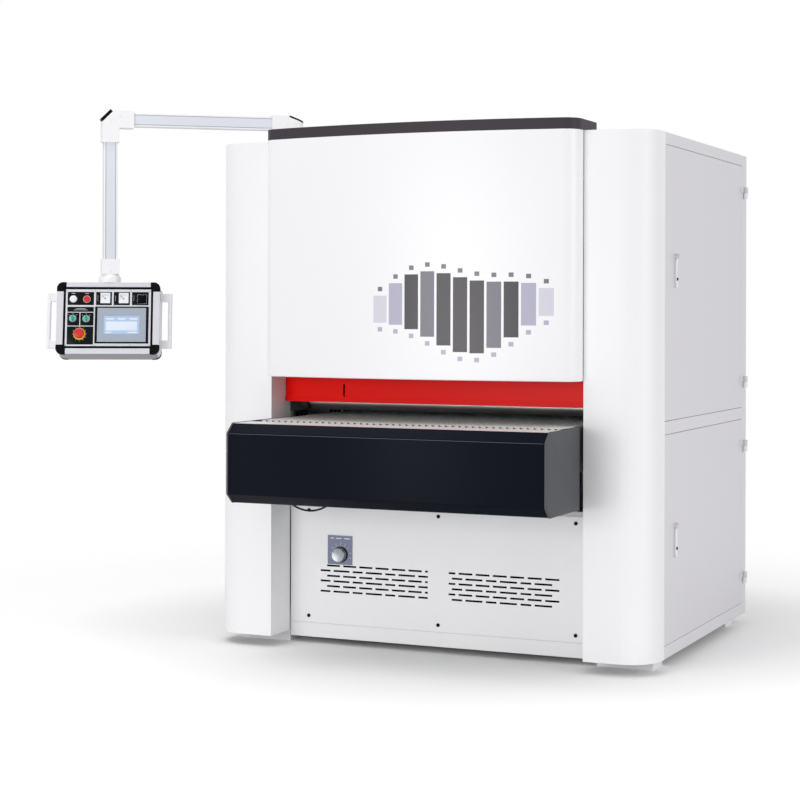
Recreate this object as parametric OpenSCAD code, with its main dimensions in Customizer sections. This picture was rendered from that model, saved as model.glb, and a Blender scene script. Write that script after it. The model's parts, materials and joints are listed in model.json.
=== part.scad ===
// Wide-belt wood sanding machine with a pendant control box.
// Modules are drawn with X to the right, Y to the rear from the column fronts, Z up from the floor.
// The origin of the finished part is the centre of its floor anchor holes.

/* [Cabinet] */
// Room between the abrasive belts and the columns
side_room = 50; // [48:1:60]
// Depth of the cabinet behind the column fronts
cab_d = 1509; // [1480:1:1600]
// Height of the roof above the floor
cab_h = 2158; // [2120:1:2260]
// Sheet thickness of the cabinet
sheet_t = 3; // [2:0.5:4]
// Width of each front column
col_w = 283; // [265:1:300]
// Depth of the column shells
col_d = 175; // [165:1:180]
// Radius of the columns' outer front corners
col_r = 140; // [80:1:150]
// Height of the bottom rail below the side doors
bottom_rail_h = 51; // [40:1:70]
// Height of the rail between the side doors
mid_rail_h = 52; // [40:1:70]
// Height of the top rail above the side doors
top_rail_h = 49; // [40:1:70]
// Width of the rear corner posts
rear_post_w = 81; // [75:1:100]
// Depth of the door frames' rails
rail_d = 40; // [35:1:45]
// Height of the lower side doors
low_door_h = 848; // [800:1:880]
// Depth of the door trays
door_t = 25; // [18:1:28]
// Gap round each door
door_gap = 2; // [1:0.5:4]

/* [Feet and base frame] */
// Height of the floor slabs
foot_h = 47; // [40:1:60]
// Width of the floor slabs
foot_w = 235; // [225:1:245]
// Depth of the floor slabs
foot_d = 133; // [110:1:150]
// Diameter of the anchor holes
anchor_d = 18; // [14:1:22]
// Distance of the anchor holes from the cabinet's sides
anchor_inset = 93; // [85:1:100]
// Side of the square posts and base rails
post_w = 100; // [80:1:110]
// Width of the front and rear cross tubes
tube_w = 50; // [40:1:60]
// Height of the upper cross tubes
tube_h = 66; // [50:1:80]
// Height of the beams that carry the lifting gear
lift_beam_h = 80; // [60:1:100]
// Level of the underside of the lifting beams
lift_beam_z = 340; // [335:1:360]

/* [Head] */
// Radius of the bowed head front
bow_r = 3300; // [2800:10:4000]
// Depth of the head's straight sides ahead of the columns
head_side = 24; // [12:1:60]
// Corner radius of the head front
head_r = 70; // [40:1:90]
// Level of the head front's lower edge
head_z = 1160; // [1145:1:1175]
// Height of the dark top trim
trim_h = 45; // [30:1:60]
// Depth of the trim behind the column fronts
trim_back = 165; // [120:1:172]
// Thickness of the head plate and the clamp bar
plate_t = 40; // [30:1:50]
// Width of the head beams
beam_w = 140; // [120:1:150]
// Height of the head beams
beam_h = 200; // [160:1:220]
// Level of the underside of the head beams
beam_z = 1420; // [1380:1:1450]

/* [Sanding units] */
// Distance of the first unit's centre plane behind the column fronts
unit_y = 480; // [460:1:490]
// Distance between the two units
unit_pitch = 520; // [510:1:530]
// Width of the abrasive belts, which sets the machine's width
belt_w = 1300; // [1100:2:1500]
// Diameter of the contact drums and tension rollers
drum_d = 200; // [190:1:204]
// Level of the drums' underside, where they sand
sand_z = 1010; // [1005:1:1012]
// Distance between drum and tension roller
belt_rise = 786; // [770:1:800]
// Thickness of the abrasive belts
belt_t = 1.5; // [1:0.1:2]
// Diameter of the drum shafts
drum_shaft_d = 60; // [50:1:66]
// Diameter of the motor pulleys and drum pulleys
pulley_d = 160; // [140:1:180]
// Width of the pulleys
pulley_w = 70; // [64:1:80]
// Diameter of the main motors
motor_d = 280; // [240:1:290]
// Length of the main motors
motor_l = 400; // [300:1:440]
// Level of the main motors' shafts
motor_z = 260; // [255:1:275]
// Diameter of the dust spigots
spigot_d = 150; // [120:1:152]
// Height of the dust spigots above the roof
spigot_h = 100; // [60:1:110]

/* [Feed table] */
// Level of the feed belt's top
table_z = 980; // [976:1:982]
// Overhang of the feed belt past each end of the abrasive belts
feed_over = 10; // [4:1:12]
// Thickness of the feed belt
feed_t = 4; // [3:0.5:6]
// Diameter of the feed belt's rollers without the belt
roller_d = 120; // [100:1:124]
// Distance of the front roller ahead of the column fronts
idler_y = 150; // [145:1:158]
// Distance of the rear roller ahead of the back of the cabinet
drive_back = 219; // [215:1:229]
// Room between the feed belt and the table's side plates
bed_side_gap = 8; // [6:0.5:10]
// Thickness of the side plates
bed_side_t = 15; // [12:1:16]
// Distance of the cover's front face ahead of the column fronts
cover_y = 406; // [390:1:430]
// Height of the cover
cover_h = 325; // [300:1:326]
// Depth of the cover's bevels
bevel_d = 44; // [30:1:50]
// Height of the cover's bevels
bevel_h = 38; // [25:1:45]
// Thickness of the cover sheet
cover_t = 4; // [3:0.5:5]
// Thickness of the end plates
end_t = 8; // [5:0.5:10]
// Distance of the lifting screws from the columns' inner faces
lift_inset = 140; // [130:1:160]
// Diameter of the lifting screws
screw_d = 50; // [40:1:56]

/* [Front panels] */
// Height of the plinth's lower edge
plinth_z = 25; // [15:1:35]
// Level of the seam between plinth and vented panel
seam_z = 87; // [80:1:95]
// Level of the vented panel's top
panel_top = 600; // [590:1:610]
// Height of a vent slot
vent_h = 8; // [6:1:10]
// Pitch of the vent rows
vent_pitch = 22.2; // [20:0.1:23]
// Level of the top vent row
vent_z = 338; // [330:1:342]
// Diameter of the speed knob
knob_d = 68; // [50:1:72]
// Distance of the speed knob from the column's inner face
knob_inset = 244.5; // [235:0.5:255]
// Level of the speed knob
knob_z = 388.6; // [385:0.1:395]

/* [Pendant] */
// Distance of the pendant's pivot outside the column's inner face
pivot_out = 141; // [130:1:150]
// Distance of the pivot behind the column fronts
pivot_y = 483; // [450:1:520]
// Length of the arm between its two axes
arm_l = 832; // [780:1:860]
// Angle of the arm from the machine's cross axis
arm_yaw = 38.5; // [30:0.5:50]
// Side of the square tubes
tube_s = 60; // [50:1:62]
// Side of the sleeves round the tubes
sleeve_s = 76; // [72:1:80]
// Level of the arm's centre line above the roof
arm_rise = 123; // [115:1:130]
// Length of the legs of the elbows
leg_l = 140; // [125:1:150]
// Level of the lower sleeve's underside
sleeve_z = 1597; // [1590:1:1610]

/* [Control box] */
// Width of the control box
box_w = 450; // [440:1:460]
// Height of the control box
box_h = 320; // [315:1:330]
// Depth of the control box
box_d = 150; // [130:1:160]
// Backward tilt of the control box
box_tilt = 11; // [9:0.5:12]
// Turn of the control box about its drop tube
box_yaw = 27; // [0:1:40]
// Width of the side rails
rail_side = 29; // [26:1:29]
// Thickness of the front panel
face_t = 3; // [2:0.5:4]
// Length of the handle bars
handle_l = 245; // [220:1:260]
// Diameter of the handle bars
handle_d = 18; // [16:1:20]
// Reach of the handles from the box
handle_out = 50; // [46:1:56]
// Diameter of the stop collar
stop_d = 53; // [48:1:55]
// Diameter of the stop mushroom
mushroom_d = 45; // [40:1:46]
// Diameter of the push button
button_d = 27; // [24:1:28]
// Width of the operator screen's surround
hmi_w = 234; // [225:1:236]
// Height of the operator screen's surround
hmi_h = 164; // [155:1:166]

/* [Hidden] */
$fn = 64;
// Facets on the large bowed front
bow_fn = 720;
// Overrun of every cut
over = 1;
// Radial clearance of a shaft in its bore
fit = 0.1;
// Clearance between a belt and a roller, and of a piece that only stands near its seat
near = 0.3;

// Cabinet values
col_in = belt_w / 2 + side_room;
cab_x = col_in + col_w;
roof_z = cab_h - sheet_t;
low_door_z = foot_h + bottom_rail_h;
up_door_z = low_door_z + low_door_h + mid_rail_h;
up_door_top = cab_h - top_rail_h;
rear_post_y = cab_d - rear_post_w;
drive_y = cab_d - drive_back;
front_post_d = 50;
panel_gap = 2;
outfeed_z0 = 790;
outfeed_z1 = 1100;

// Base frame values
plate_x = col_in + plate_t;
post_x = plate_x + post_w;
foot_x = col_in;
panel_recess = 4;
recess_y = col_d + panel_recess;
tube_y = recess_y + sheet_t;
foot_y = recess_y;
foot_back_gap = 46;
foot_rear_y = cab_d - foot_d - foot_back_gap;
anchor_x = cab_x - anchor_inset;
anchor_front_y = foot_y + foot_d / 2;
anchor_rear_y = foot_rear_y + foot_d / 2;
anchor_mid_y = (anchor_front_y + anchor_rear_y) / 2;
rear_post_y1 = foot_rear_y + foot_d;
base_top = foot_h + post_w;
upper_tube_rise = 22;
upper_tube_top = panel_top + upper_tube_rise;
lip_t = 6;
lip_reach = 10;
cradle_h = 60;
cradle_w = 80;

// Head values
head_gap = 2;
seam_lap = 0.5;
head_x = col_in - head_gap;
corner_x = head_x - head_r;
corner_y = -head_side;
bow_cy = corner_y + sqrt(pow(bow_r - head_r, 2) - pow(corner_x, 2));
bow_y = bow_r - bow_cy;
head_plate_z = 1000;
head_plate_top = 2100;
clamp_rise = 60;
clamp_z = beam_z + clamp_rise;
clamp_h = 80;
end_arm_t = 35;
end_arm_low = 50;

// Sanding unit values
unit_shift = [0, unit_pitch];
drum_r = drum_d / 2;
drum_z = sand_z + drum_r;
top_roller_z = drum_z + belt_rise;
belt_in_r = drum_r + near;
shaft_r = drum_shaft_d / 2;
shaft_hole_gap = 5;
shaft_hole_r = shaft_r + shaft_hole_gap;
flange_rim = 40;
flange_r = shaft_r + flange_rim;
flange_t = 30;
pulley_gap = 45;
pulley_x1 = plate_x + flange_t + pulley_gap;
pulley_x0 = pulley_x1 + pulley_w;
pulley_r = pulley_d / 2;
groove_n = 3;
groove_w = 13;
groove_deep = 10;
vbelt_w = groove_w - 2 * near;
vbelt_t = groove_deep;
groove_edge = (pulley_w - groove_n * groove_w) / (groove_n + 1);
front_motor_shift = 120;
motor_y_list = [unit_y + front_motor_shift, unit_y + unit_pitch];
motor_shaft_r = 24;
motor_set_in = 50;
motor_x = plate_x - motor_set_in;
motor_bell = 50;
motor_bell_step = 20;
motor_plug = 80;
motor_foot_l = 260;
motor_foot_w = 220;
roller_shaft_r = 20;
yoke_arm_t = 30;
yoke_w = 80;
yoke_z = 1700;
yoke_h = 60;
yoke_rise = 34;
cylinder_r = 40;
guide_r = 15;
guide_inset = 250;
guide_x = col_in - guide_inset;
hood_gap = 90;
hood_off = drum_r + hood_gap;
hood_mouth_z = 1060;
hood_top_z = 1500;
hood_inset = 10;
hood_x = belt_w / 2 - hood_inset;
duct_t = 2;
duct_step = 1.5;
spigot_r = spigot_d / 2;
press_r = 35;
press_shaft_r = 12.5;
press_z = 1040;
press_y_list = [300, 1310];
press_beam_h = 40;
press_beam_w = 60;
press_beam_z = 1120;
press_block_t = 32;
press_end = 10;

// Infeed guard values
guard_y = 130;
guard_z0 = 1047;
guard_pin_z = 1175;
guard_top = 8;
guard_lip_h = 20;
guard_lip_t = 6;
guard_pin_r = 5;
guard_pin_l = 20;
guard_end_gap = 3;
guard_slot_inset = 286;
guard_slot_x = col_in - guard_slot_inset;
guard_slot_z = 1071;
guard_slot_w = 8;
guard_slot_h = 54;
guard_hem_t = 6;
guard_hem_r = guard_pin_r + guard_hem_t;

// Feed table values
feed_w = belt_w + 2 * feed_over;
bed_x = feed_w / 2 + bed_side_gap + bed_side_t;
lift_x = col_in - lift_inset;
roller_z = table_z - feed_t - roller_d / 2;
belt_drop_r = roller_d / 2 + feed_t;
ledge_t = 4;
ledge_drop = 3;
ledge_z = table_z - ledge_drop;
ledge_gap = 4;
bed_plate_t = 20;
bed_low_z = 800;
bed_rib_h = 45;
bed_rib_w = 50;
bed_rear_l = 65;
bed_rear_y = drive_y + bed_rear_l;
bed_roller_gap = 10;
cable_rib_y = -60;
cover_z1 = ledge_z;
cover_z0 = cover_z1 - cover_h;
cover_back_y = -(cover_y - bevel_d);
cover_flange = 25;
end_back_y = -17;
end_proud = 2;
feed_shaft_r = 20;
gear_l = 117;
gear_w = 120;
gear_h = 140;
gear_drop = 70;
feed_motor_r = 57;
feed_motor_l = 240;
feed_motor_x = bed_x + gear_l / 2;
cable_r = 4;
cable_bend_r = 150;
cable_inset = 213;
cable_x = col_in - cable_inset;
cable_low = 594;
gland_r = 9;
gland_h = 22;
lift_front_y = 330;
lift_back = 309;
lift_y_list = [lift_front_y, cab_d - lift_back];
screw_r = screw_d / 2;
screw_flange_r = 55;
screw_flange_t = 12;
screw_low_z = 325;
gearbox_w = 120;
gearbox_h = 90;
sprocket_r = 40;
sprocket_h = 20;
chain_w = 10;
chain_h = 12;
lift_motor_w = 110;
lift_motor_r = 38;
lift_motor_l = 95;

// Front panel values
front_panel_gap = 3;
panel_x = col_in - front_panel_gap;
panel_screw_inset = 91;
panel_screw_x = col_in - panel_screw_inset;
panel_screw_zs = [116, 573];
panel_screw_r = 8;
panel_screw_t = 5;
panel_shank_r = 3;
panel_shank_l = 18;
knob_x = col_in - knob_inset;
dial_w = 117;
dial_off = 3;
dial_x0 = -knob_x - dial_off - dial_w / 2;
dial_x1 = dial_x0 + dial_w;
dial_z0 = 345;
dial_z1 = 470;
vent_bare_share = 0.0679;
vent_bare_x = vent_bare_share * col_in;
vent_rows = 6;
vent_odd_n = 14;
vent_odd_shares = [-0.7443, 0.1097, 0.0879];
vent_odd_x = vent_odd_shares[0] * col_in;
vent_odd_pitch = vent_odd_shares[1] * col_in;
vent_odd_l = vent_odd_shares[2] * col_in;
vent_even_n = 7;
vent_even_pitch = 2 * vent_odd_pitch;
vent_even_shares = [-0.7886, 0.0671, -0.7, 0.1086];
vent_even_x = vent_even_shares[0] * col_in;
vent_even_short = vent_even_shares[1] * col_in;
vent_even_x2 = vent_even_shares[2] * col_in;
vent_even_long = vent_even_shares[3] * col_in;
knob_skirt_t = 6;
knob_rim = 6;
knob_body_r = knob_d / 2 - knob_rim;
knob_body_h = 22;
knob_shaft_r = 5;
knob_shaft_l = 22;
knob_gap = 0.5;

// Door fittings
hinge_r = 10.5;
hinge_pin_r = 4;
hinge_h = 52;
hinge_x = cab_x + hinge_r;
hinge_back = 27.5;
hinge_y = rear_post_y + hinge_back;
hinge_inset_top = 124;
hinge_inset_low = 118;
hinge_split = 0.5;
leaf_t = 3;
leaf_l = 26;
strap_l = 35;
latch_w = 20;
latch_h = 138;
latch_plate_w = 38;
latch_plate_t = 2;
latch_t = 9;
latch_ear_t = 4;
latch_ear_h = 22;
latch_ear_out = 14;
latch_pin_r = 2.5;
latch_pin_drop = 12;
latch_lock_r = 6;
latch_lock_t = 2;
latch_lock_rise = 18;
upper_latch_y = 316;
upper_latch_z = 1536;
lower_latch_y = 320;
lower_latch_z = 443;

// Pendant values
pivot_x = col_in + pivot_out;
arm_z = cab_h + arm_rise;
sleeve_r = sleeve_s / 2;
grip_l = 40;
pivot_flange_r = 70;
pivot_flange_t = 10;
pivot_post_r = 36;
pivot_pin_r = 25;
pivot_pin_l = 43;
cap_slope = 20;
cap_slope_x = 30;
cap_t = 8;
elbow_chamfer = 50;
elbow_cap_t = 14;
elbow_cap_w = 57;
elbow_cap_l = 62;
drop_grip_l = 30;
lower_sleeve_l = 66;
lower_bore_l = 30;
drop_x = -pivot_x - arm_l * cos(arm_yaw);
drop_y = pivot_y - arm_l * sin(arm_yaw);
mount_top_r = 37;
mount_base_r = 48.5;
mount_base_t = 14;
mount_screw_r = 5;
mount_screw_t = 3;

// Control box values
box_top_gap = 45;
box_z = sleeve_z - box_top_gap - box_h / 2 / cos(box_tilt);
box_r = 28;
rail_top = 21;
rail_low = 25;
rail_back_t = 3;
corner_s = 42;
corner_t = 22;
corner_proud = 1.5;
face_z = -2;
gasket_t = 3;
gasket_gap = 0.5;
panel_lap = 1;
panel_w = 372;
panel_h = 253;
handle_arm_h = 35;
handle_arm_t = 14;
stub_r = 4;
stub_l = 12;
lamp_at = [-153, 85];
lamp_r = 16;
red_at = [-94, 84];
meter_ats = [[-13, 89], [67, 89]];
rotary_at = [147, 84];
selector_ats = [[-154, -2], [-95, -3]];
stop_at = [-123, -71];
hmi_at = [60, -31];
collar_r = 16;
collar_t = 3;
button_h = 10;
button_gap = 5;
stop_collar_t = 4;
mushroom_rise = 14;
mushroom_t = 12;
mushroom_stem_r = 12;
stop_travel = 6;
stem_low = stop_collar_t + stop_travel + near;
selector_r = 13;
selector_t = 6;
selector_bar_w = 8;
selector_bar_l = 28;
selector_bar_t = 12;
rotary_plate = 43;
rotary_r = 15;
rotary_turn = -45;
meter_w = 42;
meter_h = 46;
meter_t = 7;
meter_win_w = 34;
meter_win_h = 26;
meter_win_up = 6;
meter_win_t = 4;
needle_l = 20;
needle_w = 1.2;
needle_t = 1;
needle_hub_r = 2.5;
needle_pin_r = 1;
needle_start = 45;
bezel_w = 212;
bezel_h = 151;
bezel_t = 3;
hmi_t = 4;
screen_w = 155;
screen_h = 81;
screen_t = 1.5;

// Shared shapes

// Block between two corners
module block(x, y, z) translate([x[0], y[0], z[0]]) cube([x[1] - x[0], y[1] - y[0], z[1] - z[0]]);

// Same pieces on the right and on the left
module both_sides() {
    children();
    mirror([1, 0, 0]) children();
}

// Outline drawn in (Y, Z) and run along X
module along_x(x0, x1) translate([x0, 0, 0]) rotate([90, 0, 90]) linear_extrude(x1 - x0) children();

// Round bar along X
module rod_x(x0, x1, y, z, r) translate([x0, y, z]) rotate([0, 90, 0]) cylinder(r = r, h = x1 - x0);

// Round bar along Z
module rod_z(x, y, z0, z1, r) translate([x, y, z0]) cylinder(r = r, h = z1 - z0);

// Outline of a belt run over two equal rollers
module stadium(p, q, r) {
    translate(p) circle(r);
    translate(q) circle(r);
    translate(p) rotate(atan2(q.y - p.y, q.x - p.x)) translate([0, -r]) square([norm(q - p), 2 * r]);
}

// Endless belt between two equal rollers, drawn in (Y, Z)
module belt_loop(x0, x1, p, q, r, t) along_x(x0, x1) difference() {
    stadium(p, q, r + t);
    stadium(p, q, r);
}

module at_origin() translate([0, -anchor_mid_y, 0]) children();

// Cabinet and frame

module base_frame() color("gainsboro") difference() {
    union() {
        both_sides() {
            block([plate_x, post_x], [tube_y, rear_post_y1], [foot_h, base_top]);
            for (y = [tube_y, rear_post_y1 - post_w])
                block([plate_x, post_x], [y, y + post_w], [foot_h, roof_z]);
        }
        both_sides() block([plate_x, plate_x + tube_w], [tube_y + post_w, rear_post_y1 - post_w],
            [lift_beam_z, lift_beam_z + lift_beam_h]);
        for (y = [tube_y, rear_post_y1 - tube_w]) {
            block([-plate_x, plate_x], [y, y + tube_w], [foot_h, base_top]);
            block([-plate_x, plate_x], [y, y + tube_w], [upper_tube_top - tube_h, upper_tube_top]);
        }
        block([-panel_x, panel_x], [tube_y - lip_reach, tube_y], [upper_tube_top - lip_t, upper_tube_top]);
        for (y = lift_y_list)
            block([-plate_x, plate_x], [y - tube_w, y + tube_w], [lift_beam_z, lift_beam_z + lift_beam_h]);
        for (y = motor_y_list)
            block([-plate_x, plate_x], [y - cradle_w / 2, y + cradle_w / 2], [foot_h, foot_h + cradle_h]);
    }
    for (x = [-lift_x, lift_x], y = lift_y_list)
        rod_z(x, y, lift_beam_z - over, lift_beam_z + lift_beam_h + over, screw_r + 2 * near);
    panel_screw_holes();
}

module floor_feet() color("silver") both_sides()
    for (y = [foot_y, foot_rear_y]) difference() {
        block([foot_x, foot_x + foot_w], [y, y + foot_d], [0, foot_h]);
        rod_z(anchor_x, y + foot_d / 2, -over, foot_h + over, anchor_d / 2);
    }

// Plan of a column, drawn in by i and run back to y
module column_plan(i, y) {
    intersection() {
        translate([cab_x - col_r, col_r]) circle(col_r - i);
        translate([cab_x - col_r, 0]) square(col_r);
    }
    translate([col_in + i, i]) square([cab_x - col_r - col_in - i, y - i]);
    translate([cab_x - col_r, col_r]) square([col_r - i, y - col_r]);
}

module front_columns() color("white") both_sides() {
    translate([0, 0, foot_h]) linear_extrude(roof_z - foot_h) difference() {
        column_plan(0, col_d);
        column_plan(sheet_t, col_d + over);
    }
    translate([0, 0, roof_z]) linear_extrude(sheet_t) column_plan(0, col_d);
    rod_x(col_in - guard_pin_l, col_in, guard_y, guard_pin_z, guard_pin_r);
}

module side_frames() color("white") both_sides() {
    for (z = [[foot_h, low_door_z], [low_door_z + low_door_h, up_door_z], [up_door_top, roof_z]])
        block([cab_x - rail_d, cab_x], [col_d, cab_d], z);
    block([cab_x - rail_d, cab_x], [rear_post_y, cab_d], [foot_h, roof_z]);
    block([cab_x - rail_d, cab_x - door_t - door_gap], [col_d, col_d + front_post_d], [foot_h, roof_z]);
}

// Sheets: roof with two spigot holes, left side sheets, rear sheets round the outfeed
module cabinet_panels() color("white") {
    difference() {
        union() {
            block([-cab_x, cab_x], [col_d, cab_d], [roof_z, cab_h]);
            block([-col_in, col_in], [0, col_d], [roof_z, cab_h]);
        }
        for (s = unit_shift)
            rod_z(0, unit_y + s + hood_off, roof_z - over, cab_h + over, spigot_r + duct_step + near);
    }
    for (z = [[low_door_z, low_door_z + low_door_h], [up_door_z, up_door_top]])
        block([-cab_x, sheet_t - cab_x], [col_d, rear_post_y], z);
    rear_x = cab_x - rail_d;
    for (z = [[foot_h, outfeed_z0], [outfeed_z1, roof_z]])
        block([-rear_x, rear_x], [cab_d - sheet_t, cab_d], z);
    both_sides()
        block([col_in, rear_x], [cab_d - sheet_t, cab_d], [outfeed_z0 + panel_gap, outfeed_z1 - panel_gap]);
}

// Plan of the bowed head, drawn in by i and run back to y
module head_plan(i, y) {
    fan = 2;
    lap_x = corner_x + seam_lap;
    intersection() {
        translate([0, bow_cy]) circle(bow_r - i, $fn = bow_fn);
        polygon([[0, bow_cy], [-fan * lap_x, bow_cy + fan * (corner_y - bow_cy)],
            [fan * lap_x, bow_cy + fan * (corner_y - bow_cy)]]);
        translate([-head_x, -bow_y - over]) square([2 * head_x, y + bow_y + over]);
    }
    intersection() {
        for (s = [-1, 1]) translate([s * corner_x, corner_y]) circle(head_r - i);
        translate([-head_x, corner_y - head_r]) square([2 * head_x, head_r]);
    }
    translate([i - head_x, corner_y]) square([2 * (head_x - i), y - corner_y]);
}

module head_front_panel() color("white") translate([0, 0, head_z])
    linear_extrude(cab_h - head_z) difference() {
        head_plan(0, 0);
        head_plan(sheet_t, over);
    }

module head_top_trim() color([0.23, 0.20, 0.20]) translate([0, 0, cab_h]) difference() {
    linear_extrude(trim_h) head_plan(0, trim_back);
    translate([0, 0, -over]) linear_extrude(trim_h - sheet_t + over) head_plan(sheet_t, trim_back - sheet_t);
}

module panel_screw_holes() for (x = [-panel_screw_x, 0, panel_screw_x], z = panel_screw_zs)
    translate([x, recess_y - over, z]) rotate([-90, 0, 0])
        cylinder(r = panel_shank_r + near, h = panel_shank_l + 2 * over);

// One vent slot, cut short where it would reach the bare middle
module vent_slot(x, z, l) {
    x1 = x + l;
    a = x < 0 ? x : max(x, vent_bare_x);
    b = x < 0 ? min(x1, -vent_bare_x) : x1;
    if (b - a > vent_h)
        block([a, b], [recess_y - over, tube_y + over], [z - vent_h / 2, z + vent_h / 2]);
}

module vent_slots() for (row = [0 : vent_rows - 1]) {
    z = vent_z - row * vent_pitch;
    if (row % 2 == 0) for (k = [0 : vent_odd_n - 1])
        vent_slot(vent_odd_x + k * vent_odd_pitch, z, vent_odd_l);
    else for (k = [0 : vent_even_n - 1]) {
        vent_slot(vent_even_x + k * vent_even_pitch, z, vent_even_short);
        vent_slot(vent_even_x2 + k * vent_even_pitch, z, vent_even_long);
    }
}

module knob_bore() translate([-knob_x, recess_y - sheet_t - over, knob_z]) rotate([-90, 0, 0])
    cylinder(r = knob_shaft_r + fit, h = 2 * (sheet_t + over));

module front_panels() color("white") {
    difference() {
        block([-panel_x, panel_x], [recess_y, tube_y], [seam_z, panel_top]);
        vent_slots();
        panel_screw_holes();
        knob_bore();
    }
    block([-panel_x, panel_x], [recess_y, tube_y], [plinth_z, seam_z - panel_gap]);
    difference() {
        block([dial_x0, dial_x1], [recess_y - sheet_t, recess_y - near], [dial_z0, dial_z1]);
        knob_bore();
    }
}

module panel_screws() color([0.1, 0.1, 0.1])
    for (x = [-panel_screw_x, 0, panel_screw_x], z = panel_screw_zs)
        translate([x, recess_y, z]) rotate([-90, 0, 0]) {
            translate([0, 0, -panel_screw_t]) cylinder(r = panel_screw_r, h = panel_screw_t);
            cylinder(r = panel_shank_r, h = panel_shank_l);
        }

// Doors and their fittings

function hinge_zs(z0, z1) = [z0 + hinge_inset_low, z1 - hinge_inset_top];
door_spans = [[low_door_z, low_door_z + low_door_h], [up_door_z, up_door_top]];

module door_hinges() color("white")
    for (d = door_spans, z = hinge_zs(d[0], d[1])) {
        rod_z(hinge_x, hinge_y, z - hinge_h / 2, z - hinge_split, hinge_r);
        rod_z(hinge_x, hinge_y, z - hinge_h / 2, z + hinge_h / 2 - hinge_split, hinge_pin_r);
        block([cab_x, cab_x + leaf_t], [hinge_y, hinge_y + leaf_l], [z - hinge_h / 2, z - hinge_split]);
    }

// A side door: tray, hinge knuckles with straps, and the latch plate with its ears
module door(z, latch_y, latch_z) {
    y0 = col_d + door_gap;
    y1 = rear_post_y - door_gap;
    z0 = z[0] + door_gap;
    z1 = z[1] - door_gap;
    pin_z = latch_z + latch_h - latch_pin_drop;
    difference() {
        block([cab_x - door_t, cab_x], [y0, y1], [z0, z1]);
        block([cab_x - door_t - over, cab_x - sheet_t], [y0 + sheet_t, y1 - sheet_t],
            [z0 + sheet_t, z1 - sheet_t]);
    }
    for (h = hinge_zs(z[0], z[1])) difference() {
        hz = [h + hinge_split, h + hinge_h / 2];
        union() {
            rod_z(hinge_x, hinge_y, hz[0], hz[1], hinge_r);
            block([cab_x + hinge_split, cab_x + leaf_t], [y1 - strap_l, hinge_y], hz);
            block([cab_x, cab_x + leaf_t], [y1 - strap_l, y1], hz);
        }
        rod_z(hinge_x, hinge_y, hz[0] - over, hz[1] + over, hinge_pin_r + fit);
    }
    block([cab_x, cab_x + latch_plate_t], [latch_y - latch_plate_w / 2, latch_y + latch_plate_w / 2],
        [latch_z, latch_z + latch_h]);
    difference() {
        for (s = [-1, 1]) {
            ear_y = latch_y + s * (latch_w + latch_ear_t + 2 * near) / 2;
            block([cab_x, cab_x + latch_ear_out], [ear_y - latch_ear_t / 2, ear_y + latch_ear_t / 2],
                [pin_z - latch_ear_h / 2, pin_z + latch_ear_h / 2]);
        }
        translate([cab_x + latch_plate_t + latch_t / 2 + near, latch_y - latch_w, pin_z])
            rotate([-90, 0, 0]) cylinder(r = latch_pin_r + fit, h = 2 * latch_w);
    }
}

// Latch lever with its pivot pin and lock button
module latch(y, z) {
    x0 = cab_x + latch_plate_t + near;
    pin_z = z + latch_h - latch_pin_drop;
    pin_l = latch_w + 2 * (latch_ear_t + near);
    block([x0, x0 + latch_t], [y - latch_w / 2, y + latch_w / 2], [z, pin_z]);
    translate([x0 + latch_t / 2, y - latch_w / 2, pin_z]) rotate([-90, 0, 0])
        cylinder(r = latch_t / 2, h = latch_w);
    translate([x0 + latch_t / 2, y - pin_l / 2, pin_z]) rotate([-90, 0, 0])
        cylinder(r = latch_pin_r, h = pin_l);
    rod_x(x0 + latch_t, x0 + latch_t + latch_lock_t, y, z + latch_lock_rise, latch_lock_r);
}

module upper_door() color([0.84, 0.83, 0.85]) door(door_spans[1], upper_latch_y, upper_latch_z);
module lower_door() color([0.84, 0.83, 0.85]) door(door_spans[0], lower_latch_y, lower_latch_z);
module upper_latch() color("white") latch(upper_latch_y, upper_latch_z);
module lower_latch() color("white") latch(lower_latch_y, lower_latch_z);

// Sanding head

module head_frame() color("slategray") difference() {
    union() {
        block([-plate_x, -col_in], [tube_y, rear_post_y1], [head_plate_z, head_plate_top]);
        block([col_in, plate_x], [tube_y, rear_post_y1], [clamp_z, clamp_z + clamp_h]);
        for (s = unit_shift) {
            y = unit_y + s;
            block([-col_in, col_in], [y - beam_w / 2, y + beam_w / 2], [beam_z, beam_z + beam_h]);
            block([col_in - end_arm_t, col_in], [y - beam_w / 2, y + beam_w / 2],
                [drum_z - end_arm_low, beam_z + beam_h]);
        }
    }
    for (s = unit_shift) {
        rod_x(-plate_x - over, -col_in + over, unit_y + s, drum_z, shaft_hole_r);
        rod_x(col_in - end_arm_t - over, col_in + over, unit_y + s, drum_z, shaft_hole_r);
    }
}

// Flanged drum bearings, and the beams that hold the pressure rollers
module roller_bearings() color("dimgray") {
    for (s = unit_shift, x = [-plate_x - flange_t, col_in]) difference() {
        rod_x(x, x + flange_t, unit_y + s, drum_z, flange_r);
        rod_x(x - over, x + flange_t + over, unit_y + s, drum_z, shaft_r + fit);
    }
    for (y = press_y_list) difference() {
        union() {
            block([-col_in, col_in - press_end], [y - press_beam_w / 2, y + press_beam_w / 2],
                [press_beam_z, press_beam_z + press_beam_h]);
            for (x = [-col_in, col_in - press_end - press_block_t]) {
                block([x, x + press_block_t], [y - press_beam_w / 2, y + press_beam_w / 2],
                    [press_z, press_beam_z + press_beam_h]);
                rod_x(x, x + press_block_t, y, press_z, press_beam_w / 2);
            }
        }
        rod_x(-col_in - over, col_in, y, press_z, press_shaft_r + fit);
    }
}

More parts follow.
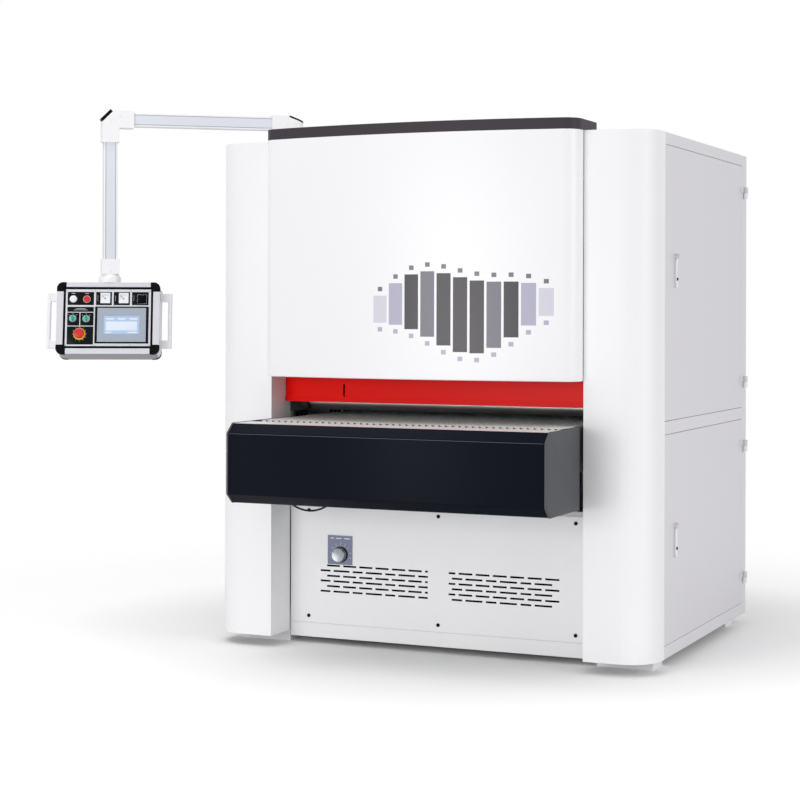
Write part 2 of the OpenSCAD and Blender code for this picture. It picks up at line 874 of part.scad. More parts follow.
// Yokes that carry the tension rollers, with their cylinders and guide rods
module tension_yokes() color("lightsteelblue") for (s = unit_shift) {
    y = unit_y + s;
    arm_x = belt_w / 2 + 2 * press_end - yoke_arm_t / 2;
    difference() {
        union() {
            block([-arm_x - yoke_arm_t, arm_x + yoke_arm_t], [y - yoke_w / 2, y + yoke_w / 2],
                [yoke_z, yoke_z + yoke_h]);
            both_sides() block([arm_x, arm_x + yoke_arm_t], [y - yoke_w / 2, y + yoke_w / 2],
                [yoke_z, top_roller_z + yoke_rise]);
        }
        rod_x(-col_in, col_in, y, top_roller_z, roller_shaft_r + fit);
    }
    rod_z(0, y, beam_z + beam_h, yoke_z, cylinder_r);
    for (x = [-guide_x, guide_x]) rod_z(x, y, beam_z + beam_h, yoke_z, guide_r);
}

module sanding_belts() color([0.45, 0.2, 0.15]) for (s = unit_shift)
    belt_loop(-belt_w / 2, belt_w / 2, [unit_y + s, drum_z], [unit_y + s, top_roller_z], belt_in_r, belt_t);

function groove_x(k) = -pulley_x0 + groove_edge + k * (groove_w + groove_edge);

module drive_belts() color([0.08, 0.08, 0.08]) for (i = [0, 1], k = [0 : groove_n - 1])
    belt_loop(groove_x(k) + near, groove_x(k) + near + vbelt_w, [motor_y_list[i], motor_z],
        [unit_y + unit_shift[i], drum_z], pulley_r - groove_deep + near, vbelt_t);

// Pulley with belt grooves on a shaft along X
module pulley(y, z) difference() {
    rod_x(-pulley_x0, -pulley_x1, y, z, pulley_r);
    for (k = [0 : groove_n - 1]) difference() {
        rod_x(groove_x(k), groove_x(k) + groove_w, y, z, pulley_r + over);
        rod_x(groove_x(k), groove_x(k) + groove_w, y, z, pulley_r - groove_deep);
    }
}

module main_motors() color("steelblue") for (y = motor_y_list) difference() {
    union() {
        rod_x(-motor_x + motor_bell, motor_l - motor_x - motor_bell, y, motor_z, motor_d / 2);
        rod_x(-motor_x, motor_l - motor_x, y, motor_z, motor_d / 2 - motor_bell_step);
        block([-motor_x + (motor_l - motor_foot_l) / 2, -motor_x + (motor_l + motor_foot_l) / 2],
            [y - motor_foot_w / 2, y + motor_foot_w / 2], [foot_h + cradle_h, motor_z - motor_d / 4]);
    }
    rod_x(-motor_x - over, motor_plug - motor_x, y, motor_z, motor_shaft_r + fit);
}

module motor_pulley(i) {
    y = motor_y_list[i];
    pulley(y, motor_z);
    rod_x(-pulley_x0, motor_plug - over - motor_x, y, motor_z, motor_shaft_r);
}
module motor_pulley_front() color("silver") motor_pulley(0);
module motor_pulley_rear() color("silver") motor_pulley(1);

module contact_drum(s) {
    rod_x(-belt_w / 2, belt_w / 2, unit_y + s, drum_z, drum_r);
    rod_x(-pulley_x0, col_in + flange_t, unit_y + s, drum_z, shaft_r);
    pulley(unit_y + s, drum_z);
}
module contact_drum_front() color("silver") contact_drum(unit_shift[0]);
module contact_drum_rear() color("silver") contact_drum(unit_shift[1]);

module tension_roller(s) {
    shaft_x = belt_w / 2 + 2 * press_end + yoke_arm_t / 2;
    rod_x(-belt_w / 2, belt_w / 2, unit_y + s, top_roller_z, drum_r);
    rod_x(-shaft_x, shaft_x, unit_y + s, top_roller_z, roller_shaft_r);
}
module tension_roller_front() color("silver") tension_roller(unit_shift[0]);
module tension_roller_rear() color("silver") tension_roller(unit_shift[1]);

module pressure_roller(y) {
    rod_x(-belt_w / 2, belt_w / 2, y, press_z, press_r);
    rod_x(press_end - col_in, col_in - press_end, y, press_z, press_shaft_r);
}
module pressure_roller_infeed() color("silver") pressure_roller(press_y_list[0]);
module pressure_roller_outfeed() color("silver") pressure_roller(press_y_list[1]);

// Dust hood: a tapered hopper open at the bottom, drawn in by i
module hopper(y, i) translate([0, y + spigot_r - i, 0]) rotate([90, 0, 0])
    linear_extrude(2 * (spigot_r - i)) polygon([[i - hood_x, hood_mouth_z], [hood_x - i, hood_mouth_z],
        [spigot_r - i, hood_top_z], [i - spigot_r, hood_top_z]]);

module dust_hoods() color("lightgray") for (s = unit_shift) {
    y = unit_y + s + hood_off;
    difference() {
        union() {
            hopper(y, 0);
            rod_z(0, y, hood_top_z, cab_h, spigot_r + duct_step);
            rod_z(0, y, cab_h, cab_h + spigot_h, spigot_r);
        }
        hopper(y, duct_t);
        rod_z(0, y, hood_top_z - over, cab_h + spigot_h + over, spigot_r - duct_t);
    }
}

module infeed_guard() color("red") difference() {
    x = col_in - guard_end_gap;
    union() {
        block([-x, x], [guard_y - sheet_t / 2, guard_y + sheet_t / 2], [guard_z0, guard_pin_z + guard_top]);
        block([-x, x], [guard_y - sheet_t / 2 - guard_lip_t, guard_y - sheet_t / 2],
            [guard_z0, guard_z0 + guard_lip_h]);
        rod_x(-x, x, guard_y, guard_pin_z, guard_hem_r);
    }
    both_sides() rod_x(col_in - guard_pin_l - over, col_in, guard_y, guard_pin_z, guard_pin_r + fit);
    block([-guard_slot_x - guard_slot_w, -guard_slot_x], [guard_y - sheet_t, guard_y + sheet_t],
        [guard_slot_z, guard_slot_z + guard_slot_h]);
}

// Feed table

module table_bed() color("dimgray") {
    difference() {
        union() {
            both_sides() block([bed_x - bed_side_t, bed_x], [cover_back_y, bed_rear_y],
                [bed_low_z, ledge_z - ledge_t]);
            block([-bed_x, bed_x], [bed_roller_gap + roller_d / 2 - idler_y, drive_y - roller_d / 2
                - bed_roller_gap], [table_z - feed_t - bed_plate_t, table_z - feed_t]);
            for (y = concat([cable_rib_y], lift_y_list))
                block([-bed_x, bed_x], [y - bed_rib_w / 2, y + bed_rib_w / 2],
                    [bed_low_z, bed_low_z + bed_rib_h]);
        }
        for (y = [-idler_y, drive_y]) rod_x(-bed_x - over, bed_x + over, y, roller_z, feed_shaft_r + fit);
    }
    block([-bed_x, bed_x], [cover_back_y, -idler_y - belt_drop_r - ledge_gap],
        [ledge_z - ledge_t, ledge_z]);
}

module feed_belt() color([0.75, 0.8, 0.75])
    belt_loop(-feed_w / 2, feed_w / 2, [-idler_y, roller_z], [drive_y, roller_z], roller_d / 2, feed_t);

// One bent sheet: bottom flange, lower bevel, front, upper bevel
module table_front_cover() color([0.12, 0.13, 0.16]) along_x(-bed_x, bed_x) polygon([
    [cover_back_y + cover_flange, cover_z0],
    [cover_back_y, cover_z0],
    [-cover_y, cover_z0 + bevel_h],
    [-cover_y, cover_z1 - bevel_h],
    [cover_back_y, cover_z1],
    [cover_back_y, cover_z1 - ledge_t - cover_t],
    [cover_t - cover_y, cover_z1 - bevel_h - cover_t / 2],
    [cover_t - cover_y, cover_z0 + bevel_h + cover_t / 2],
    [cover_back_y, cover_z0 + cover_t],
    [cover_back_y + cover_flange, cover_z0 + cover_t]]);

module cover_end_plates() color([0.38, 0.38, 0.4]) both_sides() along_x(bed_x, bed_x + end_t) polygon([
    [end_back_y, cover_z0 - end_proud],
    [cover_back_y - end_proud / 2, cover_z0 - end_proud],
    [-cover_y - end_proud, cover_z0 + bevel_h - end_proud / 2],
    [-cover_y - end_proud, cover_z1 - bevel_h + end_proud / 2],
    [cover_back_y - end_proud / 2, cover_z1 + end_proud],
    [end_back_y, cover_z1 + end_proud]]);

module feed_gearmotor() color("steelblue") difference() {
    union() {
        block([bed_x, bed_x + gear_l], [drive_y - gear_w / 2, drive_y + gear_w / 2],
            [roller_z - gear_drop, roller_z + gear_h - gear_drop]);
        rod_z(feed_motor_x, drive_y, roller_z - gear_drop - feed_motor_l, roller_z - gear_drop,
            feed_motor_r);
    }
    rod_x(bed_x - over, bed_x + gear_l - bed_roller_gap, drive_y, roller_z, feed_shaft_r + fit);
}

// Motor lead hanging in a bow between two glands under the table
module table_cable() color([0.06, 0.06, 0.06]) {
    z = cable_low + cable_r + cable_bend_r;
    translate([-cable_x, cable_rib_y, z]) rotate([-90, 0, 0])
        rotate_extrude(angle = 180) translate([cable_bend_r, 0]) circle(cable_r);
    for (s = [-1, 1]) {
        x = s * cable_bend_r - cable_x;
        rod_z(x, cable_rib_y, z, bed_low_z - gland_h, cable_r);
        rod_z(x, cable_rib_y, bed_low_z - gland_h, bed_low_z, gland_r);
    }
}

module feed_roller(y, x1) {
    half = feed_w / 2 - bed_roller_gap;
    rod_x(-half, half, y, roller_z, roller_d / 2 - near);
    rod_x(-bed_x, x1, y, roller_z, feed_shaft_r);
}
module feed_drive_roller() color("silver") feed_roller(drive_y, bed_x + gear_l - 2 * bed_roller_gap);
module feed_idler_roller() color("silver") feed_roller(-idler_y, bed_x);

module lift_screws() color("silver") for (x = [-lift_x, lift_x], y = lift_y_list) {
    rod_z(x, y, screw_low_z, bed_low_z - screw_flange_t, screw_r);
    rod_z(x, y, bed_low_z - screw_flange_t, bed_low_z, screw_flange_r);
}

// Screw gearboxes with sprockets, the chain round them and the lifting motor
module lift_drive() color("dimgray") {
    z0 = lift_beam_z + lift_beam_h;
    z1 = z0 + gearbox_h;
    for (x = [-lift_x, lift_x], y = lift_y_list) difference() {
        union() {
            block([x - gearbox_w / 2, x + gearbox_w / 2], [y - gearbox_w / 2, y + gearbox_w / 2], [z0, z1]);
            rod_z(x, y, z1, z1 + sprocket_h, sprocket_r);
        }
        rod_z(x, y, z0 - over, z1 + sprocket_h + over, screw_r + near);
    }
    translate([0, 0, z1 + (sprocket_h - chain_h) / 2]) linear_extrude(chain_h) difference() {
        chain_plan(sprocket_r + chain_w);
        chain_plan(sprocket_r);
    }
    block([-lift_motor_w / 2, lift_motor_w / 2], [lift_y_list[0] - tube_w, lift_y_list[0] + tube_w],
        [z0, z1]);
    rod_z(0, lift_y_list[0], z1, z1 + sprocket_h, sprocket_r);
    rod_z(0, lift_y_list[0], z1, z1 + lift_motor_l, lift_motor_r);
}
module chain_plan(r) {
    for (x = [-lift_x, lift_x], y = lift_y_list) translate([x, y]) circle(r);
    translate([-lift_x - r, lift_y_list[0]]) square([2 * (lift_x + r), lift_y_list[1] - lift_y_list[0]]);
    translate([-lift_x, lift_y_list[0] - r])
        square([2 * lift_x, lift_y_list[1] - lift_y_list[0] + 2 * r]);
}

module speed_knob() color("silver") translate([-knob_x, recess_y - sheet_t - knob_gap, knob_z])
    rotate([90, 0, 0]) {
        cylinder(r = knob_d / 2, h = knob_skirt_t);
        cylinder(r = knob_body_r, h = knob_skirt_t + knob_body_h);
        translate([0, 0, -knob_shaft_l]) cylinder(r = knob_shaft_r, h = knob_shaft_l + over);
    }

// Pendant arm, drawn along its own X from the pivot

module at_arm() translate([-pivot_x, pivot_y, arm_z]) rotate([0, 0, 180 + arm_yaw]) children();

module pendant_pivot_base() color("white") translate([-pivot_x, pivot_y, 0]) {
    rod_z(0, 0, cab_h, cab_h + pivot_flange_t, pivot_flange_r);
    rod_z(0, 0, cab_h, arm_z - sleeve_r - knob_gap, pivot_post_r);
    rod_z(0, 0, cab_h, arm_z - sleeve_r + pivot_pin_l, pivot_pin_r);
}

// Room above the sloping top of the pivot elbow, raised by h
module above_slope(h) translate([cap_slope_x, 0, sleeve_r]) rotate([0, -cap_slope, 0])
    translate([-2 * leg_l, -leg_l, h]) cube([2 * leg_l, 2 * leg_l, leg_l]);

module pivot_body() {
    rod_z(0, 0, -sleeve_r, sleeve_r, sleeve_r);
    block([0, leg_l - cap_slope_x], [-sleeve_r, sleeve_r], [-sleeve_r, sleeve_r]);
}

module tube_room() block([leg_l - cap_slope_x - grip_l, arm_l + grip_l - leg_l + sleeve_r],
    [-tube_s / 2, tube_s / 2], [-tube_s / 2, tube_s / 2]);
module drop_room() translate([arm_l, 0, 0])
    block([-tube_s / 2, tube_s / 2], [-tube_s / 2, tube_s / 2],
        [sleeve_z + lower_sleeve_l - drop_grip_l - arm_z, sleeve_r - leg_l + grip_l]);

// Outline of the corner elbow in its own (X, Z)
module corner_elbow() translate([arm_l, sleeve_r, 0]) rotate([90, 0, 0]) linear_extrude(sleeve_s)
    polygon([[sleeve_r - leg_l, -sleeve_r], [sleeve_r - leg_l, sleeve_r],
        [sleeve_r - elbow_chamfer, sleeve_r], [sleeve_r, sleeve_r - elbow_chamfer],
        [sleeve_r, sleeve_r - leg_l], [-sleeve_r, sleeve_r - leg_l], [-sleeve_r, -sleeve_r]]);

module pendant_elbows() color("white") {
    at_arm() {
        difference() {
            pivot_body();
            above_slope(-cap_t);
            tube_room();
            rod_z(0, 0, -sleeve_r - over, pivot_pin_l - sleeve_r + over, pivot_pin_r + fit);
        }
        difference() {
            corner_elbow();
            tube_room();
            drop_room();
        }
        translate([arm_l, 0, sleeve_z - arm_z]) difference() {
            block([-sleeve_r, sleeve_r], [-sleeve_r, sleeve_r], [0, lower_sleeve_l]);
            block([-tube_s / 2, tube_s / 2], [-tube_s / 2, tube_s / 2],
                [lower_sleeve_l - drop_grip_l, lower_sleeve_l + over]);
            rod_z(0, 0, -over, lower_bore_l, pivot_pin_r + fit);
        }
    }
}

module pendant_tubes() color("white") at_arm() {
    tube_room();
    drop_room();
}

module elbow_caps() color([0.09, 0.09, 0.1]) at_arm() {
    intersection() {
        pivot_body();
        difference() {
            above_slope(-cap_t);
            above_slope(0);
        }
    }
    translate([arm_l + sleeve_r - elbow_chamfer / 2, 0, sleeve_r - elbow_chamfer / 2]) rotate([0, 45, 0])
        block([-elbow_cap_l / 2, elbow_cap_l / 2], [-elbow_cap_w / 2, elbow_cap_w / 2], [0, elbow_cap_t]);
}

// Control box, drawn about its own centre with its face towards -Y

module at_box() translate([drop_x, drop_y, box_z]) rotate([0, 0, box_yaw]) rotate([-box_tilt, 0, 0])
    children();

// Places on the face: right, up, and out of the face
module on_face(p, out) at_box() translate([p[0], -box_d / 2, p[1]]) rotate([90, 0, 0])
    translate([0, 0, out]) children();
module on_panel(p) on_face(p, face_z) children();

module box_swivel_mount() color("white") {
    difference() {
        translate([drop_x, drop_y, 0]) {
            rod_z(0, 0, box_z, sleeve_z - near - mount_base_t, mount_base_r);
            translate([0, 0, sleeve_z - near - mount_base_t])
                cylinder(r1 = mount_base_r, r2 = mount_top_r, h = mount_base_t);
            rod_z(0, 0, box_z, sleeve_z + lower_bore_l - over, pivot_pin_r);
        }
        at_box() block([-box_w, box_w], [-box_w, box_w], [-box_h, box_h / 2]);
    }
    translate([drop_x, drop_y, sleeve_z - box_top_gap / 2 - mount_screw_r]) rotate([0, 0, box_yaw])
        translate([0, -mount_base_r + over, 0]) rotate([90, 0, 0])
            cylinder(r = mount_screw_r, h = mount_screw_t + over);
}

module face_plan(g) {
    w = box_w / 2 + g;
    h = box_h / 2 + g;
    for (x = [-1, 1], y = [-1, 1]) translate([x * (w - box_r), y * (h - box_r)]) circle(box_r);
    translate([-w, box_r - h]) square([2 * w, 2 * (h - box_r)]);
    translate([box_r - w, -h]) square([2 * (w - box_r), 2 * h]);
}
rail_x = box_w / 2 - rail_side;
module panel_room(g) translate([g - rail_x, g + rail_low - box_h / 2])
    square([2 * (rail_x - g), box_h - rail_low - rail_top - 2 * g]);
module corner_cells() for (x = [-1, 1], y = [-1, 1])
    translate([x * (box_w / 2 + over) - (x > 0 ? corner_s : 0), y * (box_h / 2 + over)
        - (y > 0 ? corner_s : 0)]) square(corner_s);

module box_frame() color("gainsboro") on_face([0, 0], 0) difference() {
    translate([0, 0, -box_d]) linear_extrude(box_d) face_plan(0);
    translate([0, 0, rail_back_t - box_d]) linear_extrude(box_d) panel_room(0);
    for (z = [-box_d - over, -corner_t]) translate([0, 0, z])
        linear_extrude(corner_t + over) corner_cells();
}

module box_corners() color([0.08, 0.08, 0.09]) on_face([0, 0], 0)
    for (z = [-box_d - corner_proud, -corner_t]) translate([0, 0, z])
        linear_extrude(corner_t + corner_proud) difference() {
            intersection() {
                face_plan(corner_proud - near);
                corner_cells();
            }
            panel_room(0);
        }

// Holes of the panel's pushers and shafts
module stub_holes() {
    for (p = concat([red_at, rotary_at, stop_at], selector_ats)) on_panel(p)
        translate([0, 0, -stub_l]) cylinder(r = stub_r + fit, h = stub_l + over);
}

module box_panel() color([0.78, 0.79, 0.8]) difference() {
    union() {
        on_face([0, (rail_low - rail_top) / 2], face_z - face_t - panel_lap)
            translate([-panel_w / 2, -panel_h / 2]) linear_extrude(face_t + panel_lap)
                square([panel_w, panel_h]);
        on_face([0, 0], face_z - face_t - gasket_t) linear_extrude(gasket_t) panel_room(gasket_gap);
    }
    stub_holes();
}

module box_handles() color("white") at_box() both_sides() {
    x = box_w / 2 + handle_out - handle_d / 2;
    rod_z(x, 0, -handle_l / 2, handle_l / 2, handle_d / 2);
    for (s = [-1, 1]) {
        z = s * (handle_l - handle_arm_h) / 2;
        block([box_w / 2, x], [-handle_arm_t / 2, handle_arm_t / 2],
            [z - handle_arm_h / 2, z + handle_arm_h / 2]);
    }
}

module box_meters() color([0.9, 0.9, 0.88]) for (p = meter_ats) difference() {
    on_panel(p) translate([-meter_w / 2, -meter_h / 2]) linear_extrude(meter_t) square([meter_w, meter_h]);
    on_panel(p) translate([-meter_win_w / 2, meter_win_up - meter_win_h / 2, meter_t - meter_win_t])
        cube([meter_win_w, meter_win_h, meter_t]);
    on_panel(p) translate([0, meter_win_up - meter_win_h / 3, over])
        cylinder(r = needle_pin_r + fit, h = meter_t);
}

module needle(p) color("black") on_panel(p)
    translate([0, meter_win_up - meter_win_h / 3, meter_t - meter_win_t + near]) {
        cylinder(r = needle_hub_r, h = needle_t + near);
        translate([0, 0, -near - over]) cylinder(r = needle_pin_r, h = needle_t + over);
        rotate(needle_start) translate([-needle_w / 2, 0]) linear_extrude(needle_t)
            square([needle_w, needle_l]);
    }
module needle_left() needle(meter_ats[0]);
module needle_right() needle(meter_ats[1]);

module hmi_unit() color([0.1, 0.1, 0.11]) on_panel(hmi_at) difference() {
    union() {
        translate([-hmi_w / 2, -hmi_h / 2]) linear_extrude(hmi_t) square([hmi_w, hmi_h]);
        translate([-bezel_w / 2, -bezel_h / 2]) linear_extrude(hmi_t + bezel_t) square([bezel_w, bezel_h]);
    }
    translate([-screen_w / 2, -screen_h / 2, hmi_t + bezel_t - screen_t])
        cube([screen_w, screen_h, screen_t + over]);
}

// Collars of the push button and selectors, the lamp, the switch plate and the stop collar
module panel_collars() color([0.8, 0.75, 0.1]) {
    on_panel(lamp_at) {
        cylinder(r = lamp_r, h = collar_t);
        cylinder(r = lamp_r - collar_t, h = collar_t + button_h / 2);
    }
    on_panel(red_at) difference() {
        cylinder(r = button_d / 2 + collar_t, h = collar_t);
        translate([0, 0, -over]) cylinder(r = button_d / 2 + near, h = collar_t + 2 * over);
    }
    for (p = selector_ats) on_panel(p) difference() {
        cylinder(r = collar_r, h = collar_t);
        translate([0, 0, -over]) cylinder(r = stub_r + fit, h = collar_t + 2 * over);
    }
    on_panel(rotary_at) difference() {
        translate([-rotary_plate / 2, -rotary_plate / 2]) linear_extrude(collar_t) square(rotary_plate);
        translate([0, 0, -over]) cylinder(r = stub_r + fit, h = collar_t + 2 * over);
    }
    on_panel(stop_at) difference() {
        cylinder(r = stop_d / 2, h = stop_collar_t);
        translate([0, 0, -over]) cylinder(r = stub_r + fit, h = stop_collar_t + 2 * over);
    }
}

module stub(z) translate([0, 0, -stub_l]) cylinder(r = stub_r, h = stub_l + z);

module red_button() color("red") on_panel(red_at) {
    translate([0, 0, button_gap - over]) cylinder(r = button_d / 2, h = button_h - button_gap + over);
    stub(button_gap);
}

module estop_button() color("red") on_panel(stop_at) {
    translate([0, 0, mushroom_rise]) cylinder(r = mushroom_d / 2, h = mushroom_t);
    translate([0, 0, stem_low]) cylinder(r = mushroom_stem_r, h = mushroom_rise + over - stem_low);
    stub(mushroom_rise);
}

module selector(p) on_panel(p) {
    translate([0, 0, collar_t + near]) cylinder(r = selector_r, h = selector_t);
    translate([-selector_bar_w / 2, -selector_bar_l / 2, collar_t + near])
        linear_extrude(selector_t + selector_bar_t) square([selector_bar_w, selector_bar_l]);
    stub(collar_t + selector_t);
}
module selector_left() color([0.0, 0.6, 0.5]) selector(selector_ats[0]);
module selector_right() color([0.0, 0.6, 0.5]) selector(selector_ats[1]);

module rotary_switch() color([0.1, 0.1, 0.1]) on_panel(rotary_at) rotate(rotary_turn) {
    translate([0, 0, collar_t + near]) cylinder(r = rotary_r, h = selector_t);
    translate([-selector_bar_w / 2, -rotary_plate / 2, collar_t + near])
        linear_extrude(selector_t + selector_bar_t / 2) square([selector_bar_w, rotary_plate]);
    stub(collar_t + selector_t);
}

at_origin() base_frame();
at_origin() floor_feet();
at_origin() front_columns();
at_origin() side_frames();
at_origin() cabinet_panels();
at_origin() head_front_panel();
at_origin() head_top_trim();
at_origin() front_panels();
at_origin() panel_screws();
at_origin() door_hinges();
at_origin() head_frame();
at_origin() roller_bearings();
at_origin() tension_yokes();
at_origin() sanding_belts();
at_origin() drive_belts();
at_origin() main_motors();
at_origin() dust_hoods();
at_origin() contact_drum_front();
at_origin() contact_drum_rear();
at_origin() tension_roller_front();
at_origin() tension_roller_rear();
at_origin() motor_pulley_front();
at_origin() motor_pulley_rear();
at_origin() pressure_roller_infeed();
at_origin() pressure_roller_outfeed();
at_origin() infeed_guard();
at_origin() table_bed();
at_origin() feed_belt();
at_origin() table_front_cover();
at_origin() cover_end_plates();
at_origin() feed_gearmotor();
at_origin() table_cable();
at_origin() feed_drive_roller();
at_origin() feed_idler_roller();
at_origin() lift_screws();
at_origin() lift_drive();
at_origin() upper_door();
at_origin() lower_door();
at_origin() upper_latch();
at_origin() lower_latch();
at_origin() speed_knob();
at_origin() pendant_pivot_base();
at_origin() pendant_elbows();
at_origin() pendant_tubes();
at_origin() elbow_caps();
at_origin() box_swivel_mount();
at_origin() box_frame();
at_origin() box_corners();
at_origin() box_panel();
at_origin() box_handles();
at_origin() box_meters();
at_origin() hmi_unit();
at_origin() panel_collars();
at_origin() red_button();
at_origin() estop_button();
at_origin() selector_left();
at_origin() selector_right();
at_origin() rotary_switch();
at_origin() needle_left();
at_origin() needle_right();
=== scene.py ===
# %% [markdown]
# This file dresses the construction model of a wide-belt sanding machine. The frame holds every piece
# at its real size and place, in metres: X to the right, Y away from the operator, Z up from the floor.
# Each step below says what a piece or a finish is on the real machine, and how it is made here.

# %% Load the frame
import json
import math

import bmesh
import bpy
import numpy as np
from mathutils import Matrix, Vector

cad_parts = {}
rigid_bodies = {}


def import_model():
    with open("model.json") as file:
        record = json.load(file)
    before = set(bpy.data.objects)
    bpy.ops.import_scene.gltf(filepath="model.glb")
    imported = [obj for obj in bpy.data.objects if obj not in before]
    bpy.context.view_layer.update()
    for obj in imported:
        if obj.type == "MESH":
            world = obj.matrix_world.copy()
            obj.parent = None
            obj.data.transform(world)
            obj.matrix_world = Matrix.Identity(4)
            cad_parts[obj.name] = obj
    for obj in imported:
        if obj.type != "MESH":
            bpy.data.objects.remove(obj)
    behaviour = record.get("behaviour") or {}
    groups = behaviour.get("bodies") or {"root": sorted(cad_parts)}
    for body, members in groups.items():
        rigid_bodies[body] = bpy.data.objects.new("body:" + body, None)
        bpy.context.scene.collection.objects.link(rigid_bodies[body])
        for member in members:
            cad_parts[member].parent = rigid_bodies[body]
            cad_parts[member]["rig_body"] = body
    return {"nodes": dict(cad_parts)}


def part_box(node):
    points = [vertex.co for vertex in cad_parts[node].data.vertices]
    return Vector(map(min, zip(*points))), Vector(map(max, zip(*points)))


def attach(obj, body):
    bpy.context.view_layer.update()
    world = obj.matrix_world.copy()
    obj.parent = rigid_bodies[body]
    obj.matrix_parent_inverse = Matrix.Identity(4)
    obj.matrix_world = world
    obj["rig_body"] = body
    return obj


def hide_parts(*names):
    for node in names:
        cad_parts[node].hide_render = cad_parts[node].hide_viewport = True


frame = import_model()
scene = bpy.context.scene
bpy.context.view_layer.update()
MM = 0.001

# %% [markdown]
# The camera stands to the right of the machine, level, with a long lens shifted down, the way a
# product photograph keeps all uprights parallel. Its place was solved from the machine's straight edges.

# %% Camera
CAMERA_AT = (3.1116, -7.9822, 1.4381)
CAMERA_YAW = math.radians(24.15)
CAMERA_ROLL = math.radians(0.16)
FOCAL_PIXELS = 1894.0
IMAGE_PIXELS = 800.0
HORIZON_PIXEL = 310.9
SENSOR_MM = 36.0
FAR_CLIP = 60
camera_data = bpy.data.cameras.new("camera")
camera_data.sensor_width = SENSOR_MM
camera_data.lens = FOCAL_PIXELS / IMAGE_PIXELS * SENSOR_MM
camera_data.shift_y = -(IMAGE_PIXELS / 2 - HORIZON_PIXEL) / IMAGE_PIXELS
camera_data.clip_end = FAR_CLIP
camera = bpy.data.objects.new("camera", camera_data)
camera.location = CAMERA_AT
turn = Matrix.Rotation(CAMERA_YAW, 4, "Z") @ Matrix.Rotation(math.radians(90), 4, "X")
camera.rotation_euler = (turn @ Matrix.Rotation(CAMERA_ROLL, 4, "Z")).to_euler()
scene.collection.objects.link(camera)
scene.camera = camera
print("camera lens", round(camera_data.lens, 2), "mm")

# %% [markdown]
# A mesh is a grid of points and the four-cornered faces between them. The helpers below make the
# grids that this machine needs: rounded blocks, bent sheets, turned parts, and rounded plates. Each
# returns a patch, which is an array of points with a list of faces, and patches are joined into a piece.


# %% Grid helpers
def grid_faces(rows, cols, wrap_rows=False, wrap_cols=False):
    """Faces between neighbouring rows and columns of a grid, closed round where it wraps."""
    i = np.arange(rows if wrap_rows else rows - 1)[:, None]
    j = np.arange(cols if wrap_cols else cols - 1)[None, :]
    i1, j1 = (i + 1) % rows, (j + 1) % cols
    quads = np.stack([i * cols + j, i * cols + j1, i1 * cols + j1, i1 * cols + j], -1)
    return quads.reshape(-1, 4)


def closed_rows(rows):
    """Closed rows of points, each joined to the next by a wall, with a cap on the first and the last."""
    count, n = rows.shape[:2]
    faces = [tuple(f) for f in grid_faces(count, n, wrap_cols=True)]
    faces += [tuple(range(n))[::-1], tuple(k + (count - 1) * n for k in range(n))]
    return rows.reshape(-1, 3), faces


def joined(*patches):
    """Patches put one after another, with their faces counted on."""
    points, faces, start = [], [], 0
    for p, f in patches:
        points.append(p)
        faces += [tuple(int(k) + start for k in face) for face in f]
        start += len(p)
    return np.concatenate(points), faces


def moved(patch, rotation=None, offset=(0, 0, 0), scale=1.0):
    """Points turned by a 3 x 3 rotation after scaling, then moved by an offset."""
    points, faces = patch
    points = points * scale
    if rotation is not None:
        points = points @ np.asarray(rotation).T
    return points + np.asarray(offset, float), faces


def rounded_block(lo, hi, r, steps=3):
    """A box with rounded edges. A face's point is the inner box's corner plus r times the unit vector
    along (tan a, tan b, 1), where a and b run from -45 to 45 degrees over the face."""
    lo, hi = np.minimum(lo, hi), np.maximum(lo, hi)
    mid, half = (lo + hi) / 2, (hi - lo) / 2
    r = min(r, half.min() * 0.999)
    angle = np.concatenate([np.linspace(-math.pi / 4, 0, steps + 1), np.linspace(0, math.pi / 4, steps + 1)])
    core = np.repeat([-1.0, 1.0], steps + 1)
    n = len(angle)
    patches = []
    for axis in range(3):
        u, v = (axis + 1) % 3, (axis + 2) % 3
        for side in (-1, 1):
            direction = np.empty((n, n, 3))
            direction[..., u] = np.tan(angle)[:, None]
            direction[..., v] = np.tan(angle)[None, :]
            direction[..., axis] = side
            direction /= np.linalg.norm(direction, axis=-1, keepdims=True)
            base = np.empty((n, n, 3))
            base[..., u] = (core * (half[u] - r))[:, None]
            base[..., v] = (core * (half[v] - r))[None, :]
            base[..., axis] = side * (half[axis] - r)
            patches.append(((mid + base + r * direction).reshape(-1, 3), grid_faces(n, n)))
    return joined(*patches)


def filleted(points, radii, steps=5):
    """A path whose corners are arcs: each starts r tan(turn / 2) before the corner and ends as far after."""
    points = [np.asarray(p, float) for p in points]
    radii = [radii] * len(points) if np.isscalar(radii) else radii
    out = [points[0]]
    for a, b, c, r in zip(points, points[1:], points[2:], radii[1:]):
        d0, d1 = (b - a) / np.linalg.norm(b - a), (c - b) / np.linalg.norm(c - b)
        cross = d0[0] * d1[1] - d0[1] * d1[0]
        bend = math.atan2(cross, float(d0 @ d1))
        if r <= 0 or abs(bend) < 1e-6:
            out.append(b)
            continue
        reach = r * math.tan(abs(bend) / 2)
        side = np.sign(bend)
        centre = b - d0 * reach + side * r * np.array([-d0[1], d0[0]])
        start = b - d0 * reach - centre
        t = np.linspace(0, bend, steps + 1)
        arc = np.stack([start[0] * np.cos(t) - start[1] * np.sin(t),
                        start[0] * np.sin(t) + start[1] * np.cos(t)], -1)
        out += list(centre + arc)
    out.append(points[-1])
    return np.array(out)


